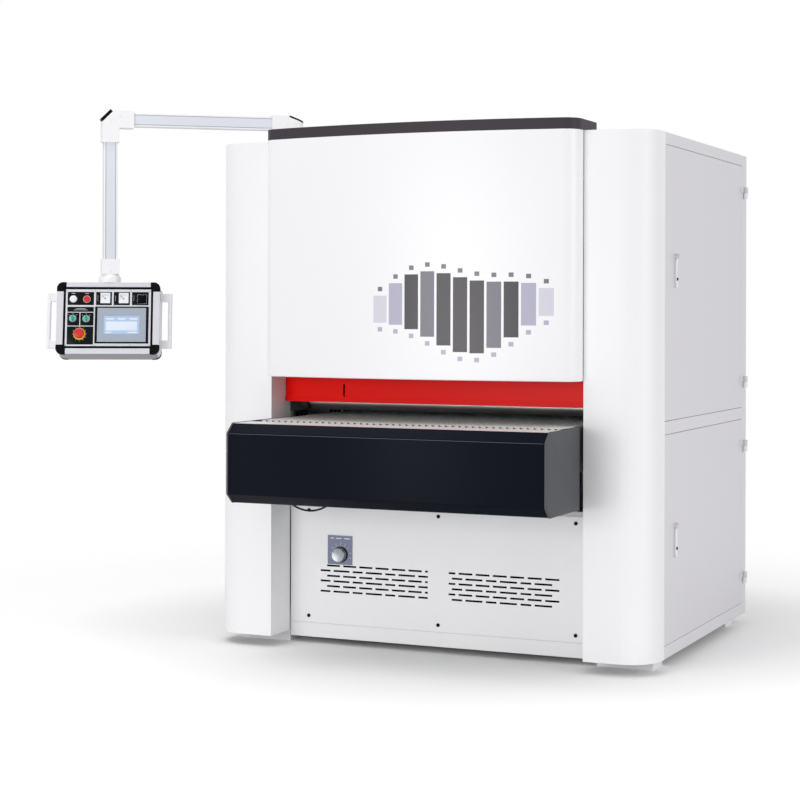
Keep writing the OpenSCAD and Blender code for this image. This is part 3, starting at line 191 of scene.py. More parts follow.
def path_normals(path, closed=False):
    """Left-hand normals of a plane path, lengthened at bends so that an offset keeps its thickness."""
    if closed:
        before, after = path - np.roll(path, 1, 0), np.roll(path, -1, 0) - path
    else:
        step = np.diff(path, axis=0)
        before, after = np.vstack([step[:1], step]), np.vstack([step, step[-1:]])
    before = before / np.linalg.norm(before, axis=1, keepdims=True)
    after = after / np.linalg.norm(after, axis=1, keepdims=True)
    tangent = before + after
    tangent /= np.linalg.norm(tangent, axis=1, keepdims=True)
    normal = np.stack([-tangent[:, 1], tangent[:, 0]], -1)
    stretch = np.clip((normal * np.stack([-before[:, 1], before[:, 0]], -1)).sum(1, keepdims=True), 0.3, 1)
    return normal / stretch

# %% Sheets and plates
AXES = {"x": (1, 2, 0), "y": (0, 2, 1), "z": (0, 1, 2)}


def place(plane_points, along, axis):
    """Plane points put at a distance along an axis: (Y, Z) for x, (X, Z) for y and (X, Y) for z."""
    a, b, c = AXES[axis]
    out = np.empty(plane_points.shape[:-1] + (3,))
    out[..., a], out[..., b], out[..., c] = plane_points[..., 0], plane_points[..., 1], along
    return out


def bent_sheet(path, thickness, start, end, axis, edge=0.4 * MM):
    """A sheet bent along a plane path and run along an axis. Its section is the path moved half the
    thickness each way, and its two long rims are rounded by a small edge."""
    normal = path_normals(path)
    half = thickness / 2
    section = np.vstack([path + normal * half, (path - normal * half)[::-1]])
    inner = np.vstack([path + normal * (half - edge), (path - normal * (half - edge))[::-1]])
    rows = np.stack([place(inner, start, axis), place(section, start + edge, axis),
                     place(section, end - edge, axis), place(inner, end, axis)])
    n = len(section)
    walls = grid_faces(4, n, wrap_cols=True)
    k = np.arange(len(path) - 1)
    cap = np.stack([k, k + 1, n - 2 - k, n - 1 - k], -1)
    faces = [tuple(f) for f in walls] + [tuple(f) for f in cap] + [tuple(f[::-1] + 3 * n) for f in cap]
    return rows.reshape(-1, 3), faces


def rounded_plate(outline, start, end, axis, edge=1 * MM, steps=3):
    """A plate of a closed plane outline. Towards each face the outline draws in by edge (1 - cos a)
    while it rises by edge sin a, so its rims are quarter-round."""
    if ((outline - np.roll(outline, 1, 0))[:, 0] * (outline + np.roll(outline, 1, 0))[:, 1]).sum() > 0:
        outline = outline[::-1]
    normal = path_normals(outline, closed=True)
    a = np.linspace(0, math.pi / 2, steps + 1)
    inset = edge * (1 - np.sin(a))
    rise = edge * (1 - np.cos(a))
    rows = [place(outline + normal * i, start + r, axis) for i, r in zip(inset, rise)]
    rows += [place(outline + normal * i, end - r, axis) for i, r in zip(inset[::-1], rise[::-1])]
    return closed_rows(np.array(rows))


def rounded_rectangle(width, height, r, centre=(0, 0), steps=5):
    """Outline of a rectangle with round corners."""
    a = np.linspace(0, math.pi / 2, steps + 1)
    quarter = np.stack([np.cos(a), np.sin(a)], -1) * r
    out = []
    for k, (sx, sy) in enumerate([(1, 1), (-1, 1), (-1, -1), (1, -1)]):
        c, s = [(1, 0), (0, 1), (-1, 0), (0, -1)][k]
        turned = np.stack([quarter[:, 0] * c - quarter[:, 1] * s, quarter[:, 0] * s + quarter[:, 1] * c], -1)
        out.append(turned + [sx * (width / 2 - r), sy * (height / 2 - r)])
    return np.concatenate(out) + np.asarray(centre)


# %% Turned parts and tubes
def turned(profile, steps=48):
    """A turned part about the Z axis. Its surface is (r cos t, r sin t, z) for each (r, z) of the profile,
    which starts and ends on the axis."""
    profile = np.asarray(profile, float)
    t = np.linspace(0, 2 * math.pi, steps, endpoint=False)
    points = np.stack([profile[:, :1] * np.cos(t), profile[:, :1] * np.sin(t),
                       np.repeat(profile[:, 1:], steps, 1)], -1)
    return points.reshape(-1, 3), grid_faces(len(profile), steps, wrap_cols=True)


def tube(path, radius, sides=16):
    """A round tube along a path in space. Each ring stands square to the path, turned the least from
    the ring before it, and the ends are closed."""
    path = np.asarray(path, float)
    tangent = np.gradient(path, axis=0)
    tangent /= np.linalg.norm(tangent, axis=1, keepdims=True)
    up = np.cross(tangent[0], [0.31, 0.17, 0.93])
    rings = []
    t = np.linspace(0, 2 * math.pi, sides, endpoint=False)
    for p, d in zip(path, tangent):
        up = up - d * (up @ d)
        up /= np.linalg.norm(up)
        side = np.cross(d, up)
        rings.append(p + radius * (np.cos(t)[:, None] * up + np.sin(t)[:, None] * side))
    return closed_rows(np.array(rings))


# %% [markdown]
# A finished piece is one mesh object at the origin. Points that fall together are merged, so that the
# patches close up, faces are turned outwards, and edges sharper than 35 degrees stay crisp.

# %% From patches to a piece
SHARP = math.radians(35)
MERGE = 0.02 * MM


# The frame brings materials of its own, two of them with names used here, so finishes are kept apart
finishes = {}


def dress(mesh, material):
    """Puts one finish, or a list of finishes, on a mesh by name."""
    for name in [material] if isinstance(material, str) else material:
        mesh.materials.append(finishes[name])


def make_piece(name, patch, body, material, replaces=(), index=None, sharp=SHARP):
    """Builds the mesh, merges doubles, turns faces outwards and hangs the piece on its body. index
    names the material of each face where a piece has several."""
    points, faces = patch
    mesh = bpy.data.meshes.new(name)
    mesh.from_pydata(points.tolist(), [], [tuple(int(k) for k in f) for f in faces])
    dress(mesh, material)
    if index is not None:
        mesh.polygons.foreach_set("material_index", np.asarray(index, np.int32))
    work = bmesh.new()
    work.from_mesh(mesh)
    bmesh.ops.remove_doubles(work, verts=work.verts, dist=MERGE)
    bmesh.ops.dissolve_degenerate(work, edges=work.edges, dist=MERGE / 4)
    bmesh.ops.recalc_face_normals(work, faces=work.faces)
    work.to_mesh(mesh)
    work.free()
    mesh.polygons.foreach_set("use_smooth", np.ones(len(mesh.polygons), bool))
    mesh.set_sharp_from_angle(angle=sharp)
    piece = bpy.data.objects.new(name, mesh)
    scene.collection.objects.link(piece)
    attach(piece, body)
    if replaces:
        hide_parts(*([replaces] if isinstance(replaces, str) else replaces))
    print(name, len(mesh.polygons), "faces")
    return piece


def box_of(node):
    """Lowest and highest corner of a node as arrays."""
    lo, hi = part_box(node)
    return np.array(lo), np.array(hi)


# %% [markdown]
# Sheet metal on such machines is powder coated. The paint flows into a fine orange peel, and its tone
# drifts a little over a large panel. One node group makes both: two noises in the object's own
# coordinates give a small height for the bump and a tone that multiplies the written colour.


# %% Node helpers
def linked(tree, kind, **inputs):
    """A new node whose inputs are set, by a value or by a link from another node's output."""
    node = tree.nodes.new(kind)
    for key, value in inputs.items():
        socket = node.inputs[int(key[1:])] if key[0] == "i" and key[1:].isdigit() else node.inputs[key]
        if isinstance(value, bpy.types.NodeSocket):
            tree.links.new(value, socket)
        else:
            socket.default_value = value
    return node


def noise(tree, vector, scale, detail=2.0, rough=0.5):
    """Value of a noise texture at a scale in waves per metre."""
    node = linked(tree, "ShaderNodeTexNoise", Vector=vector, Scale=scale, Detail=detail, Roughness=rough)
    return node.outputs[0]


def math_node(tree, operation, *values, clamp=False):
    """Output of a Math node."""
    node = linked(tree, "ShaderNodeMath", **{f"i{k}": v for k, v in enumerate(values)})
    node.operation, node.use_clamp = operation, clamp
    return node.outputs[0]


def ranged(tree, value, lo, hi, start=0.0, stop=1.0, kind="LINEAR"):
    """A value from start to stop spread between lo and hi."""
    node = linked(tree, "ShaderNodeMapRange", Value=value)
    node.interpolation_type = kind
    for key, number in (("From Min", start), ("From Max", stop), ("To Min", lo), ("To Max", hi)):
        node.inputs[key].default_value = number
    return node.outputs[0]


def about_half(tree, value, factor, base, clamp=False):
    """Base + factor (value - 0.5)."""
    return math_node(tree, "MULTIPLY_ADD", math_node(tree, "SUBTRACT", value, 0.5), factor, base, clamp=clamp)


def toned(tree, colour, tone):
    """A colour multiplied by a tone."""
    node = linked(tree, "ShaderNodeVectorMath", i0=colour, i1=tone)
    node.operation = "MULTIPLY"
    return node.outputs[0]

# %% Node group for paint
FLOAT, COLOUR, VECTOR = "NodeSocketFloat", "NodeSocketColor", "NodeSocketVector"


def effect_group(name, inputs):
    """A group that takes a vector, a colour and further inputs, with its input sockets."""
    group = bpy.data.node_groups.new(name, "ShaderNodeTree")
    for label, kind, default in [("Vector", VECTOR, (0, 0, 0)), ("Colour", COLOUR, (1, 1, 1, 1))] + inputs:
        group.interface.new_socket(name=label, in_out="INPUT", socket_type=kind).default_value = default
    for label, kind in (("Colour", COLOUR), ("Roughness", FLOAT), ("Height", FLOAT)):
        group.interface.new_socket(name=label, in_out="OUTPUT", socket_type=kind)
    return group, group.nodes.new("NodeGroupInput").outputs


def close_group(group, given, tone, rough, height):
    """Links the toned colour, the roughness and the height to the group's outputs."""
    end = group.nodes.new("NodeGroupOutput")
    group.links.new(toned(group, given["Colour"], tone), end.inputs["Colour"])
    group.links.new(rough, end.inputs["Roughness"])
    group.links.new(height, end.inputs["Height"])
    print("group", group.name)
    return group


def build_paint_group():
    """Height = fine noise; tone = 1 + drift * (broad noise - 0.5) + grain * (fine noise - 0.5); the
    roughness moves with the broad noise too."""
    group, given = effect_group("paint_film", [
        ("Waves", FLOAT, 400.0), ("Drift", FLOAT, 0.03), ("Grain", FLOAT, 0.02), ("Gloss", FLOAT, 0.4),
        ("Gloss drift", FLOAT, 0.08)])
    fine = noise(group, given["Vector"], given["Waves"], detail=2.0, rough=0.55)
    broad = noise(group, given["Vector"], 1.7, detail=3.0, rough=0.5)
    drift = about_half(group, broad, given["Drift"], 1.0)
    tone = about_half(group, fine, given["Grain"], drift)
    rough = about_half(group, broad, given["Gloss drift"], given["Gloss"])
    return close_group(group, given, tone, rough, fine)


paint_film = build_paint_group()

# %% [markdown]
# Machined and brushed metal shows fine lines in one direction. A noise whose coordinates are stretched
# along that direction gives the lines, and a second, broad one keeps the sheen from being even.


# %% Node group for brushed metal
def build_brushed_group():
    """Lines = noise of (x a, y b, z c) with small factors along the brushing; the colour is multiplied by
    1 + contrast (lines - 0.5) and the roughness rises with the lines."""
    group, given = effect_group("brushed_lines", [
        ("Stretch", VECTOR, (20, 20, 900)), ("Contrast", FLOAT, 0.1), ("Gloss", FLOAT, 0.35)])
    lines = noise(group, toned(group, given["Vector"], given["Stretch"]), 1.0, detail=3.0, rough=0.6)
    broad = noise(group, given["Vector"], 4.0, detail=2.0, rough=0.5)
    tone = about_half(group, lines, given["Contrast"], 1.0)
    rough = about_half(group, lines, 0.25, given["Gloss"])
    rough = about_half(group, broad, 0.1, rough, clamp=True)
    return close_group(group, given, tone, rough, lines)


brushed_lines = build_brushed_group()

# %% [markdown]
# Moulded plastic and rubber have a pebbled skin: small cells rather than smooth waves. A Voronoi
# distance gives the cells, and their borders are a little rougher and darker.


# %% Node group for pebbled plastic
def build_pebble_group():
    """Cell = distance to the nearest Voronoi point; tone falls by depth towards a cell's border."""
    group, given = effect_group("pebbled_skin", [
        ("Cells", FLOAT, 900.0), ("Depth", FLOAT, 0.1), ("Gloss", FLOAT, 0.45)])
    cells = linked(group, "ShaderNodeTexVoronoi", Vector=given["Vector"], Scale=given["Cells"])
    broad = noise(group, given["Vector"], 12.0, detail=3.0, rough=0.6)
    cell = cells.outputs["Distance"]
    fall = math_node(group, "MULTIPLY", cell, given["Depth"])
    tone = math_node(group, "SUBTRACT", ranged(group, broad, 0.95, 1.08), fall)
    rough = math_node(group, "MULTIPLY_ADD", broad, 0.12, given["Gloss"], clamp=True)
    return close_group(group, given, tone, rough, math_node(group, "SUBTRACT", 1.0, cell))


pebbled_skin = build_pebble_group()

# %% [markdown]
# Each finish of the machine is one material: a Principled shader that takes its colour, roughness and
# bump from one of the groups. The constants that never change over a surface sit on the shader itself.
# The finishes stand in three tables, one for each group, and the pieces ask for them by name.


# %% Finishes
def srgb(r, g, b):
    """Linear colour of an sRGB colour in 0 to 255: c / 12.92 below 0.04045, else
    ((c + 0.055) / 1.055) ** 2.4."""
    c = np.array([r, g, b]) / 255
    return tuple(np.where(c <= 0.04045, c / 12.92, ((c + 0.055) / 1.055) ** 2.4)) + (1.0,)


def finish(name, group, colour, bump, specular, metallic=0.0, reach=0.0002, **values):
    """A material around one effect group, whose inputs are set by values. bump and reach are the Bump
    node's strength and distance."""
    material = finishes[name] = bpy.data.materials.new(name)
    material.use_nodes = True
    tree = material.node_tree
    shader = tree.nodes["Principled BSDF"]
    effect = tree.nodes.new("ShaderNodeGroup")
    effect.node_tree = group
    effect.inputs["Colour"].default_value = srgb(*colour)
    tree.links.new(tree.nodes.new("ShaderNodeTexCoord").outputs["Object"], effect.inputs["Vector"])
    for key, value in values.items():
        effect.inputs[key].default_value = value
    tree.links.new(effect.outputs["Colour"], shader.inputs["Base Color"])
    tree.links.new(effect.outputs["Roughness"], shader.inputs["Roughness"])
    relief = linked(tree, "ShaderNodeBump", Strength=bump, Distance=reach, Height=effect.outputs["Height"])
    tree.links.new(relief.outputs["Normal"], shader.inputs["Normal"])
    shader.inputs["Specular IOR Level"].default_value = specular
    shader.inputs["Metallic"].default_value = metallic


# Name, sRGB colour, bump, specular level, waves per metre, gloss, and other values of the group
PAINTS = [
    ("white_paint", (243, 243, 245), 0.12, 0.35, 420, 0.42),
    ("head_paint", (243, 243, 246), 0.1, 0.4, 420, 0.34),
    # Greyer copies of the white for the right side's frames and doors: a slightly darker paint, deepened as
    # painted shade of that side
    ("side_paint", (221, 219, 224), 0.12, 0.3, 420, 0.45),
    ("door_paint", (218, 216, 222), 0.12, 0.3, 420, 0.4),
    ("frame_paint", (205, 205, 208), 0.2, 0.3, 260, 0.5),
    ("machine_grey", (96, 99, 104), 0.2, 0.3, 260, 0.5),
    ("motor_blue", (52, 84, 128), 0.2, 0.3, 260, 0.45),
    ("trim_paint", (62, 56, 63), 0.15, 0.15, 500, 0.5, ("Grain", 0.08)),
    ("cover_paint", (14, 18, 28), 0.2, 0.04, 500, 0.42, ("Grain", 0.2)),
    ("end_paint", (82, 83, 88), 0.2, 0.15, 500, 0.5, ("Grain", 0.1)),
    ("guard_red", (255, 22, 14), 0.1, 0.06, 420, 0.3, ("Drift", 0.08)),
    ("ink_dark", (62, 58, 64), 0.05, 0.35, 600, 0.35, ("Grain", 0.04)),
    ("ink_grey", (118, 116, 126), 0.05, 0.35, 600, 0.35),
    ("ink_lilac", (176, 174, 194), 0.05, 0.35, 600, 0.35),
    ("ink_pale", (210, 210, 222), 0.05, 0.35, 600, 0.35),
    # Lighter grey for the painted highlight along the fold of the table's nose
    ("fold_paint", (96, 96, 108), 0.1, 0.1, 500, 0.5),
    ("ledge_paint", (236, 226, 227), 0.1, 0.3, 420, 0.4),
    ("print_white", (236, 238, 242), 0.02, 0.3, 600, 0.5),
    ("print_black", (26, 26, 30), 0.02, 0.3, 600, 0.4),
    ("field_black", (9, 9, 12), 0.02, 0.12, 900, 0.18),
    ("screen_film", (176, 200, 232), 0.01, 0.35, 900, 0.15),
    ("screen_light", (222, 232, 246), 0.01, 0.3, 900, 0.2),
    ("arrow_red", (150, 16, 20), 0.02, 0.3, 900, 0.3),
    ("arm_paint", (222, 225, 234), 0.08, 0.35, 420, 0.36),
    # Greyer paint for the floors of the arm's grooves: painted shade
    ("arm_groove_shade", (172, 176, 190), 0.05, 0.2, 420, 0.5),
]
# Name, sRGB colour, bump, specular level, metallic, stretch of the lines, gloss, and other values
METALS = [
    ("bare_steel", (176, 178, 182), 0.05, 0.5, 1.0, (900, 30, 30), 0.3),
    ("ground_steel", (188, 186, 184), 0.05, 0.5, 1.0, (15, 700, 700), 0.38),
    ("rail_alloy", (206, 208, 214), 0.04, 0.4, 0.25, (25, 25, 800), 0.36),
    ("panel_alloy", (200, 203, 208), 0.04, 0.5, 0.6, (12, 700, 700), 0.4),
    ("cap_alloy", (150, 158, 162), 0.08, 0.5, 0.75, (60, 60, 60), 0.3, ("Contrast", 0.25)),
    ("dial_paint", (112, 116, 138), 0.05, 0.4, 0.3, (12, 500, 500), 0.4, ("Contrast", 0.12)),
    # A darker copy of the rail finish for the rails' underside: painted shade
    ("rail_underside_shade", (128, 122, 124), 0.04, 0.5, 0.4, (25, 800, 800), 0.4, ("Contrast", 0.3)),
]
# Name, sRGB colour, bump, specular level, cells per metre, depth of the cells, gloss, and other values
SKINS = [
    ("black_skin", (10, 10, 13), 0.2, 0.06, 1100, 0.1, 0.42),
    ("cable_skin", (22, 22, 24), 0.2, 0.3, 1500, 0.1, 0.5),
    ("white_skin", (232, 235, 240), 0.08, 0.4, 1300, 0.03, 0.35),
    ("red_skin", (205, 26, 30), 0.08, 0.5, 1600, 0.03, 0.28),
    ("yellow_skin", (238, 205, 40), 0.1, 0.4, 1600, 0.04, 0.4),
    ("teal_skin", (20, 150, 140), 0.08, 0.5, 1600, 0.03, 0.3),
    ("abrasive_grain", (120, 62, 44), 0.6, 0.3, 1900, 0.6, 0.8, ("reach", 0.0006)),
    ("drive_rubber", (24, 24, 26), 0.3, 0.2, 800, 0.2, 0.65),
    ("feed_rubber", (214, 224, 220), 0.2, 0.25, 700, 0.08, 0.55),
    # Dark finish for the feed belt's groove floors: painted shade between the ribs
    ("belt_groove_shade", (34, 38, 38), 0.2, 0.05, 700, 0.08, 0.75),
    ("black_mat", (8, 8, 10), 0.3, 0.05, 500, 0.2, 0.8),
    # Black for the vents' slot walls and the mats behind them: painted shade
    ("bezel_grey", (160, 170, 182), 0.06, 0.3, 1500, 0.03, 0.4),
    ("teal_grip", (96, 204, 190), 0.05, 0.5, 1600, 0.03, 0.28),
]
for name, colour, bump, specular, waves, gloss, *more in PAINTS:
    finish(name, paint_film, colour, bump, specular, Waves=waves, Gloss=gloss, **dict(more))
for name, colour, bump, specular, metallic, stretch, gloss, *more in METALS:
    finish(name, brushed_lines, colour, bump, specular, metallic, Stretch=stretch, Gloss=gloss, **dict(more))
for name, colour, bump, specular, cells, depth, gloss, *more in SKINS:
    finish(name, pebbled_skin, colour, bump, specular, Cells=cells, Depth=depth, Gloss=gloss, **dict(more))
print("finishes", len(finishes))

# %% [markdown]
# A product photograph has a white floor that keeps the machine's soft shadow, and light from everywhere.
# The world gives an even light, four broad lamps give the slow fall of tone over the white sheets, and
# the floor fades out before its edge. Cameras and mirrors see the world as plain white.

# %% Floor, world and lamps
WORLD_LEVEL, FLOOR_LIFT = 0.5, 0.3
LIFT_FROM, LIFT_TO, FADE_FROM, FADE_TO = 0.7, 2.0, 1.3, 3.7
RINGS, SPOKES, FLOOR_R = 14, 64, 7.0


def build_floor():
    """A disc of rings. Its material turns transparent between FADE_FROM and FADE_TO metres from the
    middle, and from LIFT_FROM outwards the camera, but no other ray, sees it a little lighter."""
    radius = np.concatenate([[1e-4], np.linspace(0.5, FLOOR_R, RINGS)])
    t = np.linspace(0, 2 * math.pi, SPOKES, endpoint=False)
    ring = np.stack([np.cos(t), np.sin(t), np.zeros(SPOKES)], -1)
    points = (radius[:, None, None] * ring).reshape(-1, 3)
    faces = grid_faces(len(radius), SPOKES, wrap_cols=True)[:, ::-1]
    mesh = bpy.data.meshes.new("floor")
    mesh.from_pydata(points.tolist(), [], faces.tolist())
    floor = bpy.data.objects.new("floor", mesh)
    scene.collection.objects.link(floor)
    material = bpy.data.materials.new("studio_floor")
    material.use_nodes = True
    tree = material.node_tree
    shader = tree.nodes["Principled BSDF"]
    shader.inputs["Roughness"].default_value = 0.9
    shader.inputs["Specular IOR Level"].default_value = 0.0
    shader.inputs["Emission Color"].default_value = (1, 1, 1, 1)
    where = tree.nodes.new("ShaderNodeTexCoord").outputs["Object"]
    tone = ranged(tree, noise(tree, where, 1.5), 0.93, 0.95)
    tree.links.new(toned(tree, (1, 1, 1), tone), shader.inputs["Base Color"])
    length = linked(tree, "ShaderNodeVectorMath", i0=where)
    length.operation = "LENGTH"
    distance = length.outputs["Value"]
    path = tree.nodes.new("ShaderNodeLightPath")
    rise = ranged(tree, distance, 0.0, FLOOR_LIFT, LIFT_FROM, LIFT_TO)
    lift = math_node(tree, "MULTIPLY", path.outputs["Is Camera Ray"], rise)
    tree.links.new(lift, shader.inputs["Emission Strength"])
    fade = ranged(tree, distance, 1.0, 0.0, FADE_FROM, FADE_TO, "SMOOTHSTEP")
    tree.links.new(fade, shader.inputs["Alpha"])
    mesh.materials.append(material)


def build_world():
    """Strength 1 for camera, glossy and transmission rays, and WORLD_LEVEL for the light on surfaces."""
    world = bpy.data.worlds.new("studio")
    world.use_nodes = True
    tree = world.node_tree
    background = tree.nodes["Background"]
    background.inputs["Color"].default_value = (1, 1, 1, 1)
    path = tree.nodes.new("ShaderNodeLightPath")
    seen = math_node(tree, "ADD", path.outputs["Is Camera Ray"], path.outputs["Is Glossy Ray"])
    seen = math_node(tree, "ADD", seen, path.outputs["Is Transmission Ray"], clamp=True)
    tree.links.new(ranged(tree, seen, WORLD_LEVEL, 1.0), background.inputs["Strength"])
    scene.world = world


def lamp(name, at, aim, size, power):
    """A square area lamp at a point, turned towards another; size in metres and power in watts."""
    data = bpy.data.lights.new(name, "AREA")
    data.shape, data.size, data.energy = "SQUARE", size, power
    lamp_object = bpy.data.objects.new(name, data)
    lamp_object.location = at
    lamp_object.rotation_euler = (Vector(aim) - Vector(at)).to_track_quat("-Z", "Y").to_euler()
    scene.collection.objects.link(lamp_object)


build_floor()
build_world()
LAMPS = [
    ("front_lamp", (-2.0, -8.5, 1.25), (0, -0.6, 1.0), 3.0, 148),
    ("low_lamp", (-0.5, -5.5, 0.75), (0, -0.6, 0.85), 2.0, 28),
    ("side_lamp", (7.5, -2.0, 2.5), (0.6, 0, 1.2), 4.0, 170),
    ("roof_lamp", (-1.5, -2.5, 6.5), (0, -0.3, 0), 4.0, 110),
]
for name, at, aim, size, power in LAMPS:
    lamp(name, at, aim, size, power)
scene.view_settings.view_transform = "Standard"

# %% [markdown]
# Most pieces of the machine already have their right form in the construction model. A real edge is
# never perfectly sharp though: a small rounding catches the light. Such a piece is a copy of the node's
# mesh with its loose triangles merged and a narrow bevel along its edges.

# %% Softened copies of construction pieces
CREASE = math.radians(30)


def softened(name, node, body, material, width, index=None):
    """Copy of a node's mesh, merged, that replaces it. A bevel of the given width rounds every edge over
    30 degrees. index picks a finish for each face from arrays of the faces' centres and normals. Normals
    are then weighted by face area, so wide flat faces stay flat beside the narrow roundings."""
    mesh = frame["nodes"][node].data.copy()
    mesh.name = name
    work = bmesh.new()
    work.from_mesh(mesh)
    bmesh.ops.remove_doubles(work, verts=work.verts, dist=0.01 * MM)
    work.to_mesh(mesh)
    work.free()
    for attribute in list(mesh.color_attributes):
        mesh.color_attributes.remove(attribute)
    mesh.materials.clear()
    dress(mesh, material)
    count = len(mesh.polygons)
    picked = np.zeros(count, np.int32)
    if index is not None:
        centre = np.array([p.center for p in mesh.polygons])
        normal = np.array([p.normal for p in mesh.polygons])
        picked = np.asarray(index(centre, normal), np.int32)
    mesh.polygons.foreach_set("material_index", picked)
    mesh.polygons.foreach_set("use_smooth", np.ones(count, bool))
    piece = bpy.data.objects.new(name, mesh)
    scene.collection.objects.link(piece)
    if width:
        bevel = piece.modifiers.new("edge rounding", "BEVEL")
        bevel.width, bevel.segments, bevel.limit_method = width, 2, "ANGLE"
        bevel.angle_limit = CREASE
        bevel.miter_outer = "MITER_ARC"
    mesh.set_sharp_from_angle(angle=CREASE)
    evened = piece.modifiers.new("even shading", "WEIGHTED_NORMAL")
    evened.weight, evened.keep_sharp = 50, True
    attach(piece, body)
    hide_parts(node)
    print(name, count, "faces")
    return piece


# %% Finishes of the inner nodes
# Finish, then the nodes that wear it; they are hidden inside and keep their own meshes
INNER = {
    "frame_paint": ("base_frame", "tension_yokes"),
    "machine_grey": ("head_frame", "roller_bearings", "lift_drive"),
    "abrasive_grain": ("sanding_belts",),
    "drive_rubber": ("drive_belts",),
    "motor_blue": ("main_motors", "feed_gearmotor"),
    "ground_steel": ("contact_drum_front", "contact_drum_rear", "tension_roller_front",
        "tension_roller_rear", "pressure_roller_infeed", "pressure_roller_outfeed", "feed_drive_roller",
        "feed_idler_roller"),
    "bare_steel": ("motor_pulley_front", "motor_pulley_rear", "lift_screws"),
}
for material, nodes in INNER.items():
    for node in nodes:
        mesh = frame["nodes"][node].data
        mesh.materials.clear()
        dress(mesh, material)
print("inner nodes", sum(len(nodes) for nodes in INNER.values()))

# %% Sheet pieces of the cabinet
# Piece, node, finish, width of the rounding in millimetres
SHEETS = [
    ("anchor_slabs", "floor_feet", "white_paint", 1.5),
    ("column_shells", "front_columns", "white_paint", 1.2),
    # The door frames and doors take the greyer, shade-painted copies of the white
    ("door_frames", "side_frames", "side_paint", 1.0),
    ("roof_and_sheets", "cabinet_panels", "white_paint", 0.8),
    ("head_trim", "head_top_trim", "trim_paint", 1.5),
    ("hinge_barrels", "door_hinges", "white_paint", 0.8),
    ("dust_outlets", "dust_hoods", "frame_paint", 0.5),
    ("red_guard", "infeed_guard", "guard_red", 0.8),
    ("door_above", "upper_door", "door_paint", 0.8),
    ("door_below", "lower_door", "door_paint", 0.8),
    ("pivot_foot", "pendant_pivot_base", "white_paint", 1.0),
    ("arm_elbows", "pendant_elbows", "white_paint", 2.0),
    ("arm_caps", "elbow_caps", "black_skin", 2.5),
    ("box_neck", "box_swivel_mount", "white_paint", 1.5),
    ("box_corner_caps", "box_corners", "black_skin", 3.0),
    ("side_handles", "box_handles", "white_paint", 2.0),
    ("meter_cases", "box_meters", "white_skin", 0.8),
    ("rotary_pointer", "rotary_switch", "black_skin", 0.8),
    ("needle_of_left_meter", "needle_left", "black_skin", 0),
    ("needle_of_right_meter", "needle_right", "black_skin", 0),
]
for name, node, material, width in SHEETS:
    softened(name, node, frame["nodes"][node]["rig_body"], material, width * MM)

# %% [markdown]
# The lead of the feed motor hangs in a bow under the table between two cable glands. A cable of this
# thickness holds a round bow by its own stiffness, so its line is two short drops and a half circle.

# %% Hanging lead
COLUMN_Y = box_of("front_columns")[0][1]
LEAD_X, LEAD_Y = -0.487, COLUMN_Y - 0.060
LEAD_BOW, LEAD_D, LEAD_LOW, GLAND_LOW = 0.150, 0.008, 0.594, 0.778
BOW_TOP = LEAD_LOW + LEAD_D / 2 + LEAD_BOW
drop = np.linspace(GLAND_LOW, BOW_TOP, 4)[:-1]
swing = np.linspace(math.pi, 2 * math.pi, 25)
line = np.concatenate([
    np.stack([np.full(3, LEAD_X - LEAD_BOW), drop], -1),
    np.stack([LEAD_X + LEAD_BOW * np.cos(swing), BOW_TOP + LEAD_BOW * np.sin(swing)], -1),
    np.stack([np.full(3, LEAD_X + LEAD_BOW), drop[::-1]], -1)])
lead_path = np.insert(line, 1, LEAD_Y, axis=1)
lead = make_piece("motor_lead", tube(lead_path, LEAD_D / 2, 20), "table", "cable_skin", replaces="table_cable")
gland = turned([(0, 0), (0.0058, 0), (0.0075, 0.001), (0.008, 0.003), (0.008, 0.009), (0.009, 0.0095),
                (0.009, 0.0215), (0.0085, 0.022), (0, 0.022)], 48)
glands = joined(*[moved(gland, offset=(LEAD_X + s * LEAD_BOW, LEAD_Y, GLAND_LOW)) for s in (-1, 1)])
gland_piece = make_piece("lead_glands", glands, "table", "black_skin")

# %% [markdown]
# The head's front is one sheet, rolled to a large radius, bent round at both ends and folded inwards
# along its lower edge. Its section, an L with a round bend, is carried along the sheet's plan.


# %% Section carried along a plan
def carried(plan, section):
    """Each plan point gives one copy of the closed section: depth d goes along the plan's right-hand
    normal and the second number is the height."""
    normal = -path_normals(plan)
    depth, height = section[:, 0], section[:, 1]
    rows = np.empty((len(plan), len(section), 3))
    rows[..., :2] = plan[:, None, :] + normal[:, None, :] * depth[None, :, None]
    rows[..., 2] = height[None, :]
    return closed_rows(rows)


def arc(centre, radius, start, end, steps):
    """Points of a plane arc between two angles in radians."""
    t = np.linspace(start, end, steps + 1)
    return np.asarray(centre) + radius * np.stack([np.cos(t), np.sin(t)], -1)


head_lo, head_hi = box_of("head_front_panel")
BOW_R, HEAD_CORNER, HEAD_SIDE = 3.300, 0.070, 0.024
HEAD_HALF = head_hi[0]
corner_x, corner_y = HEAD_HALF - HEAD_CORNER, COLUMN_Y - HEAD_SIDE
bow_y = corner_y + math.sqrt((BOW_R - HEAD_CORNER) ** 2 - corner_x ** 2)
tangent = math.asin(corner_x / (BOW_R - HEAD_CORNER))
right_corner = arc((corner_x, corner_y), HEAD_CORNER, -math.pi / 2 + tangent, 0, 14)
bow_line = arc((0, bow_y), BOW_R, -math.pi / 2 - tangent, -math.pi / 2 + tangent, 96)
left_corner = (right_corner * [-1, 1])[::-1]
head_plan = np.concatenate([[[-HEAD_HALF, COLUMN_Y - 0.0005]], left_corner, bow_line[1:-1], right_corner,
                            [[HEAD_HALF, COLUMN_Y - 0.0005]]])
SHEET, HEM = 0.003, 0.026
z0, z1 = head_lo[2], head_hi[2]
outer = filleted([(0, z1), (0, z0), (HEM, z0)], 0.005)
